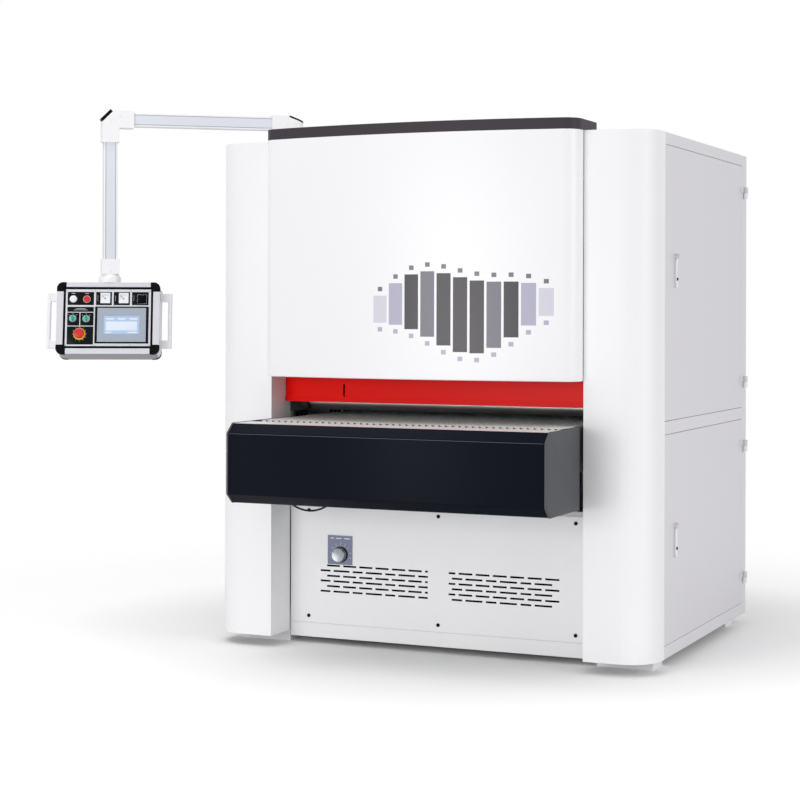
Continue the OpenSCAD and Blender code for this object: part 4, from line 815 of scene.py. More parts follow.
inner = filleted([(HEM, z0 + SHEET), (SHEET, z0 + SHEET), (SHEET, z1)], 0.002)
head_section = np.concatenate([outer, inner])
make_piece("head_shell", carried(head_plan[::-1], head_section), "cabinet", "head_paint",
           replaces="head_front_panel")

# %% [markdown]
# The head carries a printed picture of upright bars with small squares, in greys and lilac. Each bar is
# a thin film: a grid over a rectangle, laid on the bow by the bow's own formula.


# %% Printed bars on the head
def bow_front(x):
    """Y of the bowed front at x: bow_y - sqrt(R squared - x squared)."""
    return bow_y - np.sqrt(BOW_R ** 2 - x ** 2)


def film_patch(x0, x1, z0, z1):
    """A closed film over a rectangle of the bow, FILM thick."""
    columns, rows = 25, 3
    u, v = np.meshgrid(np.linspace(0, 1, columns), np.linspace(0, 1, rows), indexing="ij")
    z = z0 + (z1 - z0) * v
    x = x0 + (x1 - x0) * u
    front = np.stack([x, bow_front(x) - FILM, z], -1)
    back = np.stack([x, bow_front(x) - 0.00002, z], -1)
    rim = lambda g: np.concatenate([g[:, 0], g[-1, 1:], g[-2::-1, -1], g[0, -2:0:-1]])
    edge = np.stack([rim(front), rim(back)])
    faces = grid_faces(columns, rows)
    return joined((front.reshape(-1, 3), faces), (back.reshape(-1, 3), faces),
                  (edge.reshape(-1, 3), grid_faces(2, len(edge[0]), wrap_cols=True)))


BARS, FILM = 11, 0.00015
BAR_W, BAR_MIN, BAR_SWELL = 0.060, 0.055, 0.095
PRINT_X, PRINT_W, PRINT_Z, PRINT_WAVE = -0.150, 0.700, 1.445, 0.03
SQUARE, SQUARE_GAP, SQUARE_IN = 0.018, 0.018, 0.020
INKS = ("ink_dark", "ink_dark", "ink_grey", "ink_dark", "ink_lilac", "ink_pale")
films = {ink: [] for ink in INKS}
for k in range(BARS):
    share = k / (BARS - 1)
    left = PRINT_X + PRINT_W * share
    half = BAR_MIN + BAR_SWELL * math.sin(math.pi * share)
    middle = PRINT_Z + PRINT_WAVE * math.sin(2.5 * math.pi * share)
    films[INKS[abs(k - BARS // 2)]].append(film_patch(left, left + BAR_W, middle - half, middle + half))
    above, below = middle + half + SQUARE_GAP, middle - half - SQUARE_GAP - SQUARE
    for ink, foot in (("ink_grey", above), ("ink_lilac", below)):
        films[ink].append(film_patch(left + SQUARE_IN, left + BAR_W - SQUARE_IN, foot, foot + SQUARE))
for ink, patches in films.items():
    make_piece("film_" + ink, joined(*patches), "cabinet", ink)

# %% [markdown]
# The table's nose is one black sheet with two bevels, bent on a press brake, so every bend is a small
# arc. The sheet's path is drawn once with fillets and run across the machine. The grey end plates are
# thicker, with rounded rims, and close the nose at both sides.

# %% Table nose and its end plates
nose_lo, nose_hi = box_of("table_front_cover")
BEVEL_D, BEVEL_H, FLANGE, NOSE_T, BEND = 0.044, 0.038, 0.025, 0.004, 0.006
front, back = nose_lo[1] + NOSE_T / 2, nose_lo[1] + BEVEL_D
low, high = nose_lo[2] + NOSE_T / 2, nose_hi[2] - NOSE_T / 2
nose_path = filleted([(back + FLANGE, low), (back, low), (front, nose_lo[2] + BEVEL_H),
                      (front, nose_hi[2] - BEVEL_H), (back, high)], BEND)
make_piece("table_nose", bent_sheet(nose_path, NOSE_T, nose_lo[0], nose_hi[0], "x", edge=0.8 * MM), "table",
           "cover_paint", replaces="table_front_cover", sharp=math.radians(50))
# A thin lighter strip along the nose's upper fold is a painted highlight, where the bend would catch the light
fold_highlight = rounded_block([nose_lo[0] + 0.004, nose_lo[1] - 0.0002, nose_hi[2] - BEVEL_H - 0.0035],
                          [nose_hi[0] - 0.004, nose_lo[1] + 0.0006, nose_hi[2] - BEVEL_H - 0.002], 0.0001)
make_piece("nose_fold_highlight", fold_highlight, "table", "fold_paint")
end_lo, end_hi = box_of("cover_end_plates")
END_T = 0.008
CHAMFER, END_BEND = 0.003, 0.012
outline = filleted([
    (end_hi[1] - CHAMFER, end_lo[2]), (back, end_lo[2]), (end_lo[1], nose_lo[2] + BEVEL_H),
    (end_lo[1], nose_hi[2] - BEVEL_H), (back, end_hi[2]), (end_hi[1] - CHAMFER, end_hi[2])], END_BEND)
outline = np.concatenate([outline, [[end_hi[1], end_hi[2] - CHAMFER], [end_hi[1], end_lo[2] + CHAMFER]]])
ends = [rounded_plate(outline, x, x + END_T, "x", edge=1.6 * MM) for x in (end_hi[0] - END_T, -end_hi[0])]
make_piece("nose_ends", joined(*ends), "table", "end_paint", replaces="cover_end_plates")

# %% [markdown]
# The feed belt has zigzag ribs that grip the board. Along the loop each rib is a trapezium: up, over,
# down and along the groove. Across the belt the whole pattern shifts to and fro as a triangle wave, so
# the columns of the grid stand at the wave's corners and every rib edge stays crisp.

# %% Ribbed feed belt
belt_lo, belt_hi = box_of("feed_belt")
BELT_T, RIB_H, RIB_PITCH, ZIG, ZIG_PITCH = 0.004, 0.0026, 0.036, 0.012, 0.0145
radius = (belt_hi[2] - belt_lo[2]) / 2 - BELT_T
front_axle = np.array([belt_lo[1] + radius + BELT_T, (belt_lo[2] + belt_hi[2]) / 2])
rear_axle = np.array([belt_hi[1] - radius - BELT_T, front_axle[1]])
straight = rear_axle[0] - front_axle[0]
loop_length = 2 * straight + 2 * math.pi * (radius + BELT_T)
ribs = round(loop_length / RIB_PITCH)


def loop_point(s, h):
    """Point of the loop at length s and height h over the inner face: along the top to the rear, half
    round the rear roller, back below, and half round the front roller."""
    s = np.mod(s, loop_length)
    turn_length = math.pi * (radius + BELT_T)
    a = np.clip(s - straight, 0, turn_length) / (radius + BELT_T)
    b = np.clip(s - 2 * straight - turn_length, 0, turn_length) / (radius + BELT_T)
    angle = math.pi / 2 - a - b
    y = front_axle[0] + np.clip(s, 0, straight) - np.clip(s - straight - turn_length, 0, straight)
    return np.stack([y + (radius + h) * np.cos(angle), front_axle[1] + (radius + h) * np.sin(angle)], -1)


phase = np.array([0.0, 0.1, 0.5, 0.6])
height = np.array([BELT_T - RIB_H, BELT_T, BELT_T, BELT_T - RIB_H])
columns = np.linspace(belt_lo[0], belt_hi[0], round((belt_hi[0] - belt_lo[0]) / ZIG_PITCH) + 1)
zig = np.where(np.arange(len(columns)) % 2 == 0, -ZIG, ZIG)
s = ((np.arange(ribs)[:, None] + phase) * loop_length / ribs).ravel()
h = np.tile(height, ribs)
ribbed = np.empty((len(s), len(columns), 3))
ribbed[..., 0] = columns
ribbed[..., 1:] = loop_point(s[:, None] + zig[None, :], h[:, None])
inside = np.empty((len(s), 2, 3))
inside[:, :, 0] = columns[[0, -1]]
inside[:, 0, 1:] = loop_point(s + zig[0], 0 * h)
inside[:, 1, 1:] = loop_point(s + zig[-1], 0 * h)
strip = grid_faces(len(s), 2, wrap_rows=True)
left = np.stack([ribbed[:, 0], inside[:, 0]], 1)
right = np.stack([ribbed[:, -1], inside[:, 1]], 1)
belt_patch = joined((ribbed.reshape(-1, 3), grid_faces(len(s), len(columns), wrap_rows=True)),
                    (inside.reshape(-1, 3), strip), (left.reshape(-1, 3), strip),
                    (right.reshape(-1, 3), strip))
# The groove floors take a dark finish, painted shade in the recesses between the ribs
face_row = np.repeat(np.arange(len(s)), len(columns) - 1) % 4
groove = np.concatenate([(face_row == 3).astype(int), np.zeros(3 * len(s), int)])
make_piece("ribbed_belt", belt_patch, "table", ["feed_rubber", "belt_groove_shade"], replaces="feed_belt",
           index=groove, sharp=math.radians(22))
print("ribs", ribs, "pitch", round(loop_length / ribs * 1000, 2), "mm")

# %% [markdown]
# Between the nose and the belt lies a pale ledge, the front flange of the table's bed. The bed is a
# plain weldment, so its own mesh serves, with the ledge's faces picked out by where they lie.


# %% Ledge in front of the belt
def ledge_faces(centre, normal):
    """1 for the faces of the ledge plate in front of the belt, 0 elsewhere."""
    return (centre[:, 1] < belt_lo[1] + 0.001) & (centre[:, 2] > nose_hi[2] - 0.0045)


softened("table_bed_sheets", "table_bed", "table", ["machine_grey", "ledge_paint"], 0, index=ledge_faces)

# %% [markdown]
# The speed dial is a lilac-grey plate with an engraved scale round a turned knob. The knob has a black
# skirt, a knurled aluminium cap and a concave top. Its rim is a circle whose radius dips slightly with
# the cosine of 60 turns, which gives the knurl.

# %% Speed dial and knob
knob_lo, knob_hi = box_of("speed_knob")
KNOB_X, KNOB_Z = (knob_lo[0] + knob_hi[0]) / 2, (knob_lo[2] + knob_hi[2]) / 2
KNOB_R, SKIRT_T, CAP_H = (knob_hi[0] - knob_lo[0]) / 2, 0.006, 0.022
CAP_R = KNOB_R - 0.0025
PANEL_BACK, PLATE_T = 0.179, 0.003
panel_front = COLUMN_Y + PANEL_BACK
dial_front = panel_front - PLATE_T
TO_FRONT = np.array([[1, 0, 0], [0, 0, -1], [0, 1, 0]])


def knurled(profile, teeth, depth, lo, hi, steps=240):
    """A turned part whose radius is r - depth (1 - cos(teeth t)) / 2 between the heights lo and hi."""
    points, faces = turned(profile, steps)
    t = np.arctan2(points[:, 1], points[:, 0])
    band = (points[:, 2] > lo) & (points[:, 2] < hi)
    r = np.linalg.norm(points[:, :2], axis=1)
    dip = np.where(band, depth * (1 - np.cos(teeth * t)) / 2, 0) / np.maximum(r, 1e-9)
    points[:, :2] *= (1 - dip)[:, None]
    return points, faces


base = dial_front - 0.0005
cap = knurled([
    (0, SKIRT_T), (CAP_R - 0.0005, SKIRT_T), (CAP_R, SKIRT_T + 0.001), (CAP_R - 0.0002, SKIRT_T + 0.004),
    (CAP_R - 0.0008, CAP_H + 0.002), (CAP_R - 0.0018, CAP_H + 0.005), (CAP_R - 0.0035, CAP_H + 0.006),
    (CAP_R - 0.0055, CAP_H + 0.0058), (0.012, CAP_H + 0.0042), (0.0, CAP_H + 0.004)],
    teeth=60, depth=0.0007, lo=SKIRT_T + 0.002, hi=CAP_H + 0.003)
make_piece("knob_cap", moved(cap, TO_FRONT, (KNOB_X, base, KNOB_Z)), "knob", "cap_alloy", replaces="speed_knob")
skirt = turned([(0, 0), (KNOB_R - 0.001, 0), (KNOB_R, 0.001), (KNOB_R - 0.0005, SKIRT_T - 0.0015),
                (KNOB_R - 0.002, SKIRT_T), (0, SKIRT_T)], 96)
make_piece("knob_skirt", moved(skirt, TO_FRONT, (KNOB_X, base, KNOB_Z)), "knob", "black_skin")
mark = rounded_block([-0.0007, KNOB_R - 0.016, CAP_H + 0.0045],
                     [0.0007, KNOB_R - 0.009, CAP_H + 0.0063], 0.0003)
MARK_TURN = 52
turn_back = Matrix.Rotation(math.radians(MARK_TURN), 3, "Z")
make_piece("knob_mark", moved(moved(mark, turn_back), TO_FRONT, (KNOB_X, base, KNOB_Z)), "knob", "black_skin")

# %% [markdown]
# The lower panel is the construction model's own sheet. Black filter mats lie behind its vents, their
# black standing in for the shade inside the cabinet, and the walls of the slots are painted black as
# painted shade, so each slot reads as one black stroke.

# %% Lower panel and its vents
VENT_X, VENT_Z = ((-0.56, -0.04), (0.03, 0.56)), (0.165, 0.345)


def panel_faces(centre, normal):
    """1 for the dial's plate, in front of the panel around the knob, and 2 for the walls of the vents,
    which lie between the lowest and the highest row and don't face the front or the back; their black
    finish is painted shade."""
    dial = ((np.abs(centre[:, 0] - KNOB_X) < 0.075) & (np.abs(centre[:, 2] - KNOB_Z - 0.02) < 0.08)
            & (centre[:, 1] < panel_front - 0.0005))
    walls = ((np.abs(normal[:, 1]) < 0.3) & (centre[:, 2] > VENT_Z[0]) & (centre[:, 2] < VENT_Z[1])
             & (np.abs(centre[:, 0]) < VENT_X[1][1]))
    return np.where(dial, 1, np.where(walls, 2, 0))


# The third finish paints the walls of the vents black, as their shade
softened("lower_panels", "front_panels", "cabinet", ["white_paint", "dial_paint", "black_mat"], 0,
         index=panel_faces)
# Black mats behind the vents, painted shade that makes each slot read black
mats = [rounded_block([x0, panel_front + 0.0035, VENT_Z[0]], [x1, panel_front + 0.0075, VENT_Z[1]], 0.0012)
        for x0, x1 in VENT_X]
make_piece("vent_shade_mats", joined(*mats), "cabinet", "black_mat")

# %% [markdown]
# The dial's scale is white ink, so thin that it only just stands off the plate: 21 bars round the knob,
# plain numbers from 0 to 10, and three short bars in a row at the plate's top.

# %% Scale of the dial
INK_T, INK_SINK = 0.15 * MM, 0.02 * MM


def printed_bar(x, z, angle, length, width):
    """A bar of ink on the dial's plate, its middle at x, z, turned by an angle from upright."""
    c, s = math.cos(angle), math.sin(angle)
    corners = np.array([(-1, -1), (1, -1), (1, 1), (-1, 1)]) * [width / 2, length / 2]
    flat = corners @ np.array([[c, -s], [s, c]]) + [x, z]
    return rounded_plate(flat, dial_front - INK_T, dial_front + INK_SINK, "y", edge=0.04 * MM, steps=1)


def digits(text, x, z, size, name):
    """A plain number cut from a thin flat sheet on the dial's plate, centred at x, z."""
    half = 0.06 * MM
    curve = bpy.data.curves.new(name, "FONT")
    curve.body, curve.size, curve.extrude = text, size, half
    curve.align_x, curve.align_y = "CENTER", "CENTER"
    curve.resolution_u = 3
    holder = bpy.data.objects.new(name, curve)
    scene.collection.objects.link(holder)
    bpy.context.view_layer.update()
    mesh = bpy.data.meshes.new_from_object(holder)
    bpy.data.objects.remove(holder)
    points = np.array([v.co for v in mesh.vertices])
    faces = [tuple(p.vertices) for p in mesh.polygons]
    bpy.data.meshes.remove(mesh)
    return points @ TO_FRONT.T + [x, dial_front - half, z], faces


DIAL_FROM, DIAL_STEP, DIGIT_H, DIGIT_R, DIGIT_LOW = -135, 27, 0.0075, KNOB_R + 0.0150, KNOB_Z - 0.025
TOP_Z, TOP_BARS = 0.4575, ((-0.040, 0.015), (-0.009, 0.026), (0.030, 0.027))
scale = []
for k in range(21):
    angle = math.radians(DIAL_FROM + DIAL_STEP / 2 * k)
    r, length = (KNOB_R + 0.0055, 0.0035) if k % 2 else (KNOB_R + 0.0065, 0.006)
    scale.append(printed_bar(KNOB_X + r * math.sin(angle), KNOB_Z + r * math.cos(angle), angle, length, 0.0012))
for k in range(11):
    angle = math.radians(DIAL_FROM + DIAL_STEP * k)
    x, z = KNOB_X + DIGIT_R * math.sin(angle), KNOB_Z + DIGIT_R * math.cos(angle)
    if z > DIGIT_LOW:
        scale.append(digits(str(k), x, z, DIGIT_H, f"scale_number_{k}"))
scale += [printed_bar(KNOB_X + x, TOP_Z, 0, 0.0035, width) for x, width in TOP_BARS]
make_piece("dial_scale", joined(*scale), "cabinet", "print_white")

# %% [markdown]
# The six screws of the vented panel are black button heads with a hexagon socket. The head is a turned
# cap; the socket is a second ring of points whose radius follows a hexagon, sunk into the head.


# %% Button head screws
def button_screw(r, rise, socket, steps=48):
    """Cap of radius r and height rise about Z with a hexagon socket; the hexagon's radius at t is
    socket / cos(t folded into 30 degrees)."""
    t = np.linspace(0, 2 * math.pi, steps, endpoint=False)
    fold = np.mod(t, math.pi / 3) - math.pi / 6
    hexagon = socket / np.cos(fold) * math.cos(math.pi / 6)
    rim, middle = socket * 1.25, np.full(steps, 1e-6)
    rows = [(middle, 0.0), (np.full(steps, r), 0.0)]
    for a in np.linspace(0.15, 1, 5) * math.pi / 2:
        rows.append((np.full(steps, rim + (r - rim) * np.cos(a)), rise * np.sin(a)))
    rows += [(hexagon * 1.04, rise), (hexagon, rise * 0.9), (hexagon, rise * 0.35), (middle, rise * 0.3)]
    points = np.array([np.stack([q * np.cos(t), q * np.sin(t), np.full(steps, z)], -1) for q, z in rows])
    return points.reshape(-1, 3), grid_faces(len(points), steps, wrap_cols=True)


SCREW_X, SCREW_Z, SCREW_R, SCREW_H = 0.609, (0.116, 0.573), 0.008, 0.005
screw = button_screw(SCREW_R, SCREW_H, 0.0036)
screws = [moved(screw, TO_FRONT, (x, panel_front, z)) for x in (-SCREW_X, 0, SCREW_X) for z in SCREW_Z]
make_piece("button_screws", joined(*screws), "cabinet", "black_skin", replaces="panel_screws")

# %% [markdown]
# The face of the control box tilts up to the eyes and turns to the operator. Drawing it flat, as right,
# up and out, and turning the finished patches once keeps every hole and print in one simple frame.
# On the real panel the fields are printed on an aluminium plate, whose bare metal stays as a border.

# %% Frame of the control box's face
FACE_SWING, FACE_TILT, FACE_BACK = 27, -11, 0.075
BOX_AT = np.array([-1.49213, -0.85593, 1.389005])
FACE_TURN = np.asarray(Matrix.Rotation(math.radians(FACE_SWING), 3, "Z")
                       @ Matrix.Rotation(math.radians(FACE_TILT), 3, "X"))
# Places on the face in millimetres, right and up from its middle, and the height of the panel
LAMP_AT, PUSH_AT, STOP_AT, ROTARY_AT = (-153, 85), (-94, 84), (-123, -71), (147, 84)
SELECTOR_LEFT, SELECTOR_RIGHT, SCREEN_AT, METER_U, METER_V = (-154, -2), (-95, -3), (60, -31), (-13, 67), 86.33
PANEL_W = -2.0


def on_face(*patches):
    """Patches drawn as (right, up, out) in metres, laid on the tilted face."""
    return moved(moved(joined(*patches), TO_FRONT, (0, -FACE_BACK, 0)), FACE_TURN, BOX_AT)


def face_place(point):
    """Points in space read as right, up and out on the face."""
    x, y, z = ((np.asarray(point) - BOX_AT) @ FACE_TURN).T
    return x, z, -FACE_BACK - y


def field(u0, u1, v0, v1, low, high, r=1.0):
    """A flat printed or raised field; all lengths in millimetres."""
    outline = rounded_rectangle(u1 - u0, v1 - v0, r, ((u0 + u1) / 2, (v0 + v1) / 2), 3) * MM
    return rounded_plate(outline, low * MM, high * MM, "z", edge=0.08 * MM, steps=2)


def dot(u, v, r, low, high):
    """A small round print or head; all lengths in millimetres."""
    profile = np.array([(0, low), (r, low), (r, (low + high) / 2), (r * 0.8, high), (0, high)]) * MM
    return moved(turned(profile, 20), None, (u * MM, v * MM, 0))


def bar(u, v, length, width, angle, low, high):
    """A thin bar centred at u, v and turned by an angle in degrees; lengths in millimetres."""
    c, s = math.cos(math.radians(angle)), math.sin(math.radians(angle))
    corners = np.array([(-1, -1), (1, -1), (1, 1), (-1, 1)]) * [length / 2, width / 2]
    return rounded_plate((corners @ np.array([[c, s], [-s, c]]) + [u, v]) * MM, low * MM, high * MM, "z",
                         edge=0.04 * MM, steps=1)


def bars_around(at, r, angles, length, width, low, high, turn=0):
    """Bars on a circle of radius r at angles in degrees, each along its radius or turned from it."""
    return [bar(at[0] + r * math.cos(math.radians(a)), at[1] + r * math.sin(math.radians(a)),
                length, width, a + turn, low, high) for a in angles]


def standing(patch, at):
    """A patch drawn in millimetres, moved to its place on the panel."""
    return moved(patch, None, np.array([*at, PANEL_W]) * MM, scale=MM)


# %% Panel, gasket and printed fields
softened("box_face", "box_panel", "box", ["panel_alloy", "black_skin"], 0.4 * MM,
         index=lambda centre, normal: face_place(centre)[2] < -4.5 * MM)
FIELDS = [(-178, -63, 58, 117), (-54, 15, 58, 117), (23, 94, 58, 117), (103, 176, 58, 117),
          (-178, -63, 27.5, 50), (-178, -124.5, -34, 24.5), (-121, -63, -34, 24.5), (-178, -63, -118, -37.5)]
make_piece("printed_fields", on_face(*[field(*f, PANEL_W - 0.05, PANEL_W + 0.25) for f in FIELDS]), "box",
           "field_black")
rim_screws = [dot(u, v, 3.0, PANEL_W - 0.1, PANEL_W + 1.2)
              for u in (-183, -58, 98.5, 181) for v in (121.5, -121.5)]
make_piece("panel_rim_screws", on_face(*rim_screws), "box", "bare_steel")
ON_PANEL = (PANEL_W + 0.2, PANEL_W + 0.35)
ticks = [bar(u, v, length, width, 0, *ON_PANEL) for u, v, length, width in
         ((-153, 110, 16, 1.6), (-94, 110, 16, 1.6), (-120, 41, 44, 1.6), (-120, 36, 60, 1.0))]
for at in (SELECTOR_LEFT, SELECTOR_RIGHT):
    ticks += bars_around(at, 23, (45, 90, 135), 4, 1.2, *ON_PANEL)
ticks += bars_around(STOP_AT, 30.5, range(0, 360, 30), 4, 1.0, *ON_PANEL)
ticks += [bar(u, v, 5, 1.2, 90, *ON_PANEL) for u in (-46, 31, 111) for v in (98, 89, 80)]
make_piece("field_ticks", on_face(*ticks), "box", "print_white")


def collar_faces(centre, normal):
    """White lamp, yellow stop ring and black switch plate; the other collars stay bare."""
    u, v, _ = face_place(centre)
    near_to = lambda at, r: np.hypot(u - at[0] * MM, v - at[1] * MM) < r * MM
    return 1 * near_to(LAMP_AT, 20) + 2 * near_to(STOP_AT, 30) + 3 * near_to(ROTARY_AT, 32)


softened("face_collars", "panel_collars", "box", ["bare_steel", "white_skin", "yellow_skin", "black_skin"],
         0.5 * MM, index=collar_faces)
ON_PLATE, PLATE_EDGES, PLATE_TICKS = (0.9, 1.15), (-20.3, 20.3), (-18, -12, -6, 6, 12, 18)
u, v = ROTARY_AT
switch_marks = bars_around(ROTARY_AT, 18.5, (0, 90, 180, 270), 3, 1.4, *ON_PLATE)
switch_marks += [bar(u + edge, v + t, 3, 1.0, 90, *ON_PLATE) for edge in PLATE_EDGES for t in PLATE_TICKS]
switch_marks += [bar(u + t, v + edge, 3, 1.0, 0, *ON_PLATE) for edge in PLATE_EDGES for t in PLATE_TICKS]
make_piece("switch_marks", on_face(*switch_marks), "box", "print_white")

# %% [markdown]
# The rails of the box are one extrusion with corner caps. Their underside looks at the dark machine and
# gets little light, so the faces that look down take a darker copy of the rail finish as painted shade.

# %% Rails of the control box
# Faces that look down take the darker rail finish, which is painted shade
softened("box_rails", "box_frame", "box", ["rail_alloy", "rail_underside_shade"], 1.0 * MM,
         index=lambda centre, normal: (normal @ FACE_TURN)[:, 2] < -0.8)

# %% [markdown]
# The stop button is a domed mushroom. The selectors are turned bases with a pointed grip across them,
# wide at the middle and narrow at both ends, so a gloved hand can feel where they point.

# %% Stop button and selectors
STEM_R, STEM_LOW = 3.9, -9.8
mushroom = turned([
    (0, STEM_LOW), (STEM_R, STEM_LOW), (STEM_R, 10.5), (11.9, 10.5), (12, 13.8), (20, 13.9), (22, 14.6),
    (22.5, 16.5), (22.3, 19), (21, 22), (18.5, 24.3), (14, 25.4), (8, 25.9), (0, 26)], 64)
make_piece("stop_mushroom", on_face(standing(mushroom, STOP_AT)), "stop", "red_skin", replaces="estop_button")
push_cap = turned([
    (0, STEM_LOW), (STEM_R, STEM_LOW), (STEM_R, 4.3), (13.1, 4.3), (13.5, 4.8), (13.5, 8.8), (13.1, 9.7),
    (12, 10), (9, 9.5), (0, 9.2)], 64)
make_piece("push_cap", on_face(standing(push_cap, PUSH_AT)), "push", "red_skin", replaces="red_button")
turn_marks = bars_around(STOP_AT, 13, (30, 150, 270), 6, 1.4, 23.3, 23.9, turn=90)
make_piece("stop_turn_marks", on_face(*turn_marks), "stop", "arrow_red")
BASE_LOW, GRIP_LOW, GRIP_TOP = 3.4, 6.4, 21.2
BASE = [(0, STEM_LOW), (STEM_R, STEM_LOW), (STEM_R, BASE_LOW), (12.5, BASE_LOW), (13, BASE_LOW + 0.6),
        (13, BASE_LOW + 4), (12, BASE_LOW + 5), (0, BASE_LOW + 5)]
GRIP = np.array([(0.9, -13.8), (4, -6), (4, 6), (0.9, 13.8), (-0.9, 13.8), (-4, 6), (-4, -6), (-0.9, -13.8)])
for side, at in (("left", SELECTOR_LEFT), ("right", SELECTOR_RIGHT)):
    base = standing(turned(BASE, 48), at)
    grip = standing(rounded_plate(GRIP, GRIP_LOW, GRIP_TOP, "z", edge=0.8), at)
    make_piece("selector_grip_" + side, on_face(base, grip), "sel_" + side, ["teal_grip", "teal_skin"],
               replaces="selector_" + side, index=np.repeat([0, 1], [len(base[1]), len(grip[1])]))


# %% [markdown]
# The operator screen is a moulded bezel in a black surround. Its display shows plain fields only.

# %% Operator screen
def screen_faces(centre, normal):
    """The surround is black, the bezel grey and the display pale blue."""
    u, v, w = face_place(centre)
    inside = (np.abs(u - SCREEN_AT[0] * MM) < 78 * MM) & (np.abs(v - SCREEN_AT[1] * MM) < 41 * MM)
    return np.where(inside & (np.abs(w - 3.5 * MM) < 0.3 * MM), 2, np.where(w > 2.2 * MM, 1, 0))


softened("screen_unit", "hmi_unit", "box", ["field_black", "bezel_grey", "screen_film"], 0.5 * MM,
         index=screen_faces)
DISPLAY, SHOWN = 3.45, 3.6
blocks = [field(u, u + 34, -8, -1, DISPLAY, SHOWN, 0.5) for u in (-8, 43, 94)]
blocks += [field(u0, u1, -68, -62, DISPLAY, SHOWN, 0.5) for u0, u1 in ((-8, 16), (86, 128))]
blocks.append(field(-8, 128, -56, -16, DISPLAY, SHOWN - 0.05, 0.5))
make_piece("screen_blocks", on_face(*blocks), "box", "screen_light")

# %% [markdown]
# A panel meter has a white card behind its window with a quarter scale, and the needle turns about a
# point in its lower right part. The scale is drawn here; the needle is a piece of its own that moves.

# %% Meter scales
ON_CARD = (0.95, 1.08)
STEPS = np.arange(45, 136, 9)
scales = []
for at in ((u, METER_V) for u in METER_U):
    for k, step in enumerate(STEPS):
        scales += bars_around(at, 17.5, [step], 2.0 if k % 5 else 3.2, 0.5, *ON_CARD)
        if k < len(STEPS) - 1:
            scales += bars_around(at, 16, [step + 4.5], 2.6, 0.35, *ON_CARD, turn=90)
    scales.append(dot(*at, 2.2, 0.9, 1.9))
make_piece("meter_scales", on_face(*scales), "box", "print_black")

# %% [markdown]
# The arm is square aluminium tube with shallow grooves along its edges, as hangers for control boxes are
# made. Two of its faces carry the lines seen in the photo. The outline has the grooves in it and is run
# along the tube. The groove floors are painted grey as their shade, and the strips beside them take the
# brighter white paint.

# %% Pendant tubes
ARM_AT, ARM_SWING = np.array([-0.841, -0.338, 2.281]), 218.5
ARM_TURN = np.asarray(Matrix.Rotation(math.radians(ARM_SWING), 3, "Z"))
TUBE_W, TUBE_R, ARM_REACH, ELBOW_HALF = 0.060, 3 * MM, 0.832, 0.038
GROOVE_IN, GROOVE_W, GROOVE_D, GROOVE_EDGE = 7 * MM, 3.2 * MM, 1.2 * MM, 0.3 * MM


def grooved_outline():
    """Square of width TUBE_W with round corners and, on each side, two grooves inset from its corners."""
    h, r = TUBE_W / 2, TUBE_R
    a = np.linspace(-math.pi / 4, 0, 4)
    side = [(h - r + r * math.cos(t), -h + r + r * math.sin(t)) for t in a]
    for y in (-h + GROOVE_IN, h - GROOVE_IN - GROOVE_W):
        side += [(h, y), (h - GROOVE_D, y + GROOVE_EDGE), (h - GROOVE_D, y + GROOVE_W - GROOVE_EDGE),
                 (h, y + GROOVE_W)]
    side += [(h - r + r * math.cos(t), h - r + r * math.sin(t)) for t in -a[::-1]]
    side = np.array(side)[:-1]
    return np.concatenate([side @ np.array([[math.cos(t), math.sin(t)], [-math.sin(t), math.cos(t)]])
                           for t in np.arange(4) * math.pi / 2])


outline = grooved_outline()
tubes = joined(rounded_plate(outline, 0.0701, 0.7699, "x", edge=0.3 * MM, steps=2),
               rounded_plate(outline + [ARM_REACH, 0], -0.6479, -0.0621, "z", edge=0.3 * MM, steps=2))
middle = np.array([tubes[0][list(f)].mean(0) for f in tubes[1]])
upright = middle[:, 2] < -TUBE_W / 2
side_a = np.abs(middle[:, 1])
side_b = np.abs(np.where(upright, middle[:, 0] - ARM_REACH, middle[:, 2]))
across = np.where(np.maximum(side_a, side_b) > 28.5 * MM, np.minimum(side_a, side_b), 0)
# Band 2 paints the groove floors grey as their shade; band 1 gives the strips beside them the white paint
band = np.where(across > 22.9 * MM, 1, np.where(across > 19.6 * MM, 2, 0))
make_piece("arm_tubes", moved(tubes, ARM_TURN, ARM_AT), "arm", ["arm_paint", "white_paint", "arm_groove_shade"],
           replaces="pendant_tubes", index=band)
cover = turned([(0, -0.3), (5.5, -0.3), (5.5, 0.5), (4.8, 1.1), (0, 1.3)], 24)
COVERS = ((ARM_REACH, -0.012), (0.79, 0.012), (ARM_REACH, -0.670), (0.040, 0.0))
covers = [moved(cover, np.array([[1, 0, 0], [0, 0, -s], [0, s, 0]]), (x, -s * ELBOW_HALF, z), scale=MM)
          for s in (-1, 1) for x, z in COVERS]
make_piece("elbow_screw_covers", moved(joined(*covers), ARM_TURN, ARM_AT), "arm", "white_skin")

# %% [markdown]
# The door latches are flush lift levers. The lever is a bar that thins towards its lower end and ends in
# a lip for the fingers; a round lock sits near its lower end.

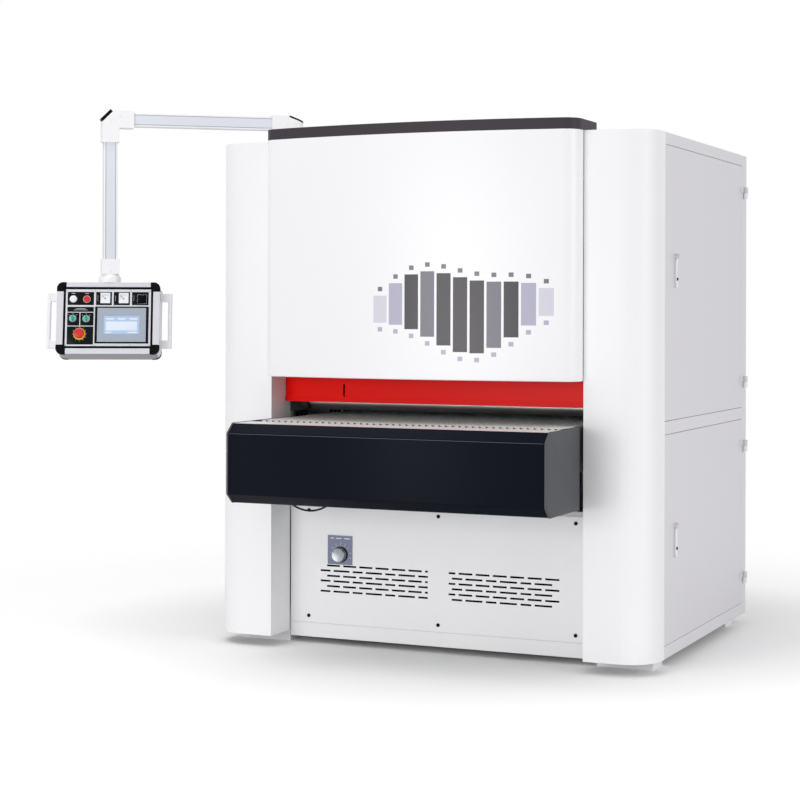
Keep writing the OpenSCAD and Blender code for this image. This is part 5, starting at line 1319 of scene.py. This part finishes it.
# %% Door latches
LEVER_T, LEVER_HALF, PIN_R, LOCK_X, LOCK_Z = 9, 10, 2.5, 6.3, 34
ALONG_Y, TO_SIDE = np.array([[1, 0, 0], [0, 0, 1], [0, -1, 0]]), np.array([[0, 0, 1], [0, 1, 0], [-1, 0, 0]])
lock = turned([(0, 0), (6, 0), (6, 3.6), (5.4, 4.2), (1.4, 4.2), (1.2, 3.2), (0, 3.2)], 32)
for name, node in (("latch_lever_above", "upper_latch"), ("latch_lever_below", "lower_latch")):
    body = frame["nodes"][node]["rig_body"]
    lo, hi = box_of(node)
    y, r = (lo[1] + hi[1]) / 2, LEVER_T / 2
    pin = (hi[2] - lo[2]) / MM - r
    side = [(0, pin), (0, 6), (2, 0), (8.6, 0), (8.9, 5), (6.5, 26), (6.5, pin - 30), (8.6, pin - 12),
            (LEVER_T, pin), *arc((r, pin), r, 0, math.pi, 8)[1:-1]]
    lever = rounded_plate(np.array(side) * MM + lo[[0, 2]], y - LEVER_HALF * MM, y + LEVER_HALF * MM, "y",
                          edge=1.2 * MM, steps=3)
    ends = np.array([lo[1] - y, hi[1] - y]) / MM
    rod = turned([(0, ends[0]), (PIN_R, ends[0]), (PIN_R, ends[1]), (0, ends[1])], 20)
    rod = moved(rod, ALONG_Y, (lo[0] + r * MM, y, lo[2] + pin * MM), scale=MM)
    make_piece(name, joined(lever, rod), body, "white_paint", replaces=node)
    at = (lo[0] + LOCK_X * MM, y, lo[2] + LOCK_Z * MM)
    make_piece(name + "_lock", moved(lock, TO_SIDE, at, scale=MM), body, "black_skin")

# %% [markdown]
# The fixed sheets at the left side and the rear are held by rows of low screws near their edges. They are
# small pan heads in the greyer, shade-painted copy of the white used on the side frames, so they show a
# little darker than the sheets, beside their soft shadows.

# %% Screw rows of the fixed sheets
sheets_lo, sheets_hi = box_of("cabinet_panels")
TO_REAR = np.array([[-1, 0, 0], [0, 0, 1], [0, 1, 0]])
TO_LEFT = np.array([[0, 0, -1], [-1, 0, 0], [0, 1, 0]])
pan_head = button_screw(0.0065, 0.0028, 0.0026, steps=24)


def frame_of_points(a0, a1, b0, b1, across, up):
    """Points along the four edges of a rectangle: across of them along each row and up along each column."""
    rows = [(a, b) for b in (b0, b1) for a in np.linspace(a0, a1, across)]
    return rows + [(a, b) for a in (a0, a1) for b in np.linspace(b0, b1, up)[1:-1]]


EDGE, SINK, REAR_X, LOW_SHEET, HIGH_SHEET = 0.022, 0.0002, 0.900, (0.047, 0.790), (1.100, sheets_hi[2] - 0.003)
side_from, side_to = COLUMN_Y + 0.175 + EDGE, sheets_hi[1] - 0.081 - EDGE
heads = []
for low, high in (LOW_SHEET, HIGH_SHEET):
    heads += [moved(pan_head, TO_REAR, (x, sheets_hi[1] - SINK, z))
              for x, z in frame_of_points(-REAR_X, REAR_X, low + EDGE, high - EDGE, 6, 4)]
for node in ("lower_door", "upper_door"):
    lo, hi = box_of(node)
    heads += [moved(pan_head, TO_LEFT, (sheets_lo[0] + SINK, y, z))
              for y, z in frame_of_points(side_from, side_to, lo[2] + EDGE, hi[2] - EDGE, 5, 4)]
make_piece("sheet_screws", joined(*heads), "cabinet", "side_paint")
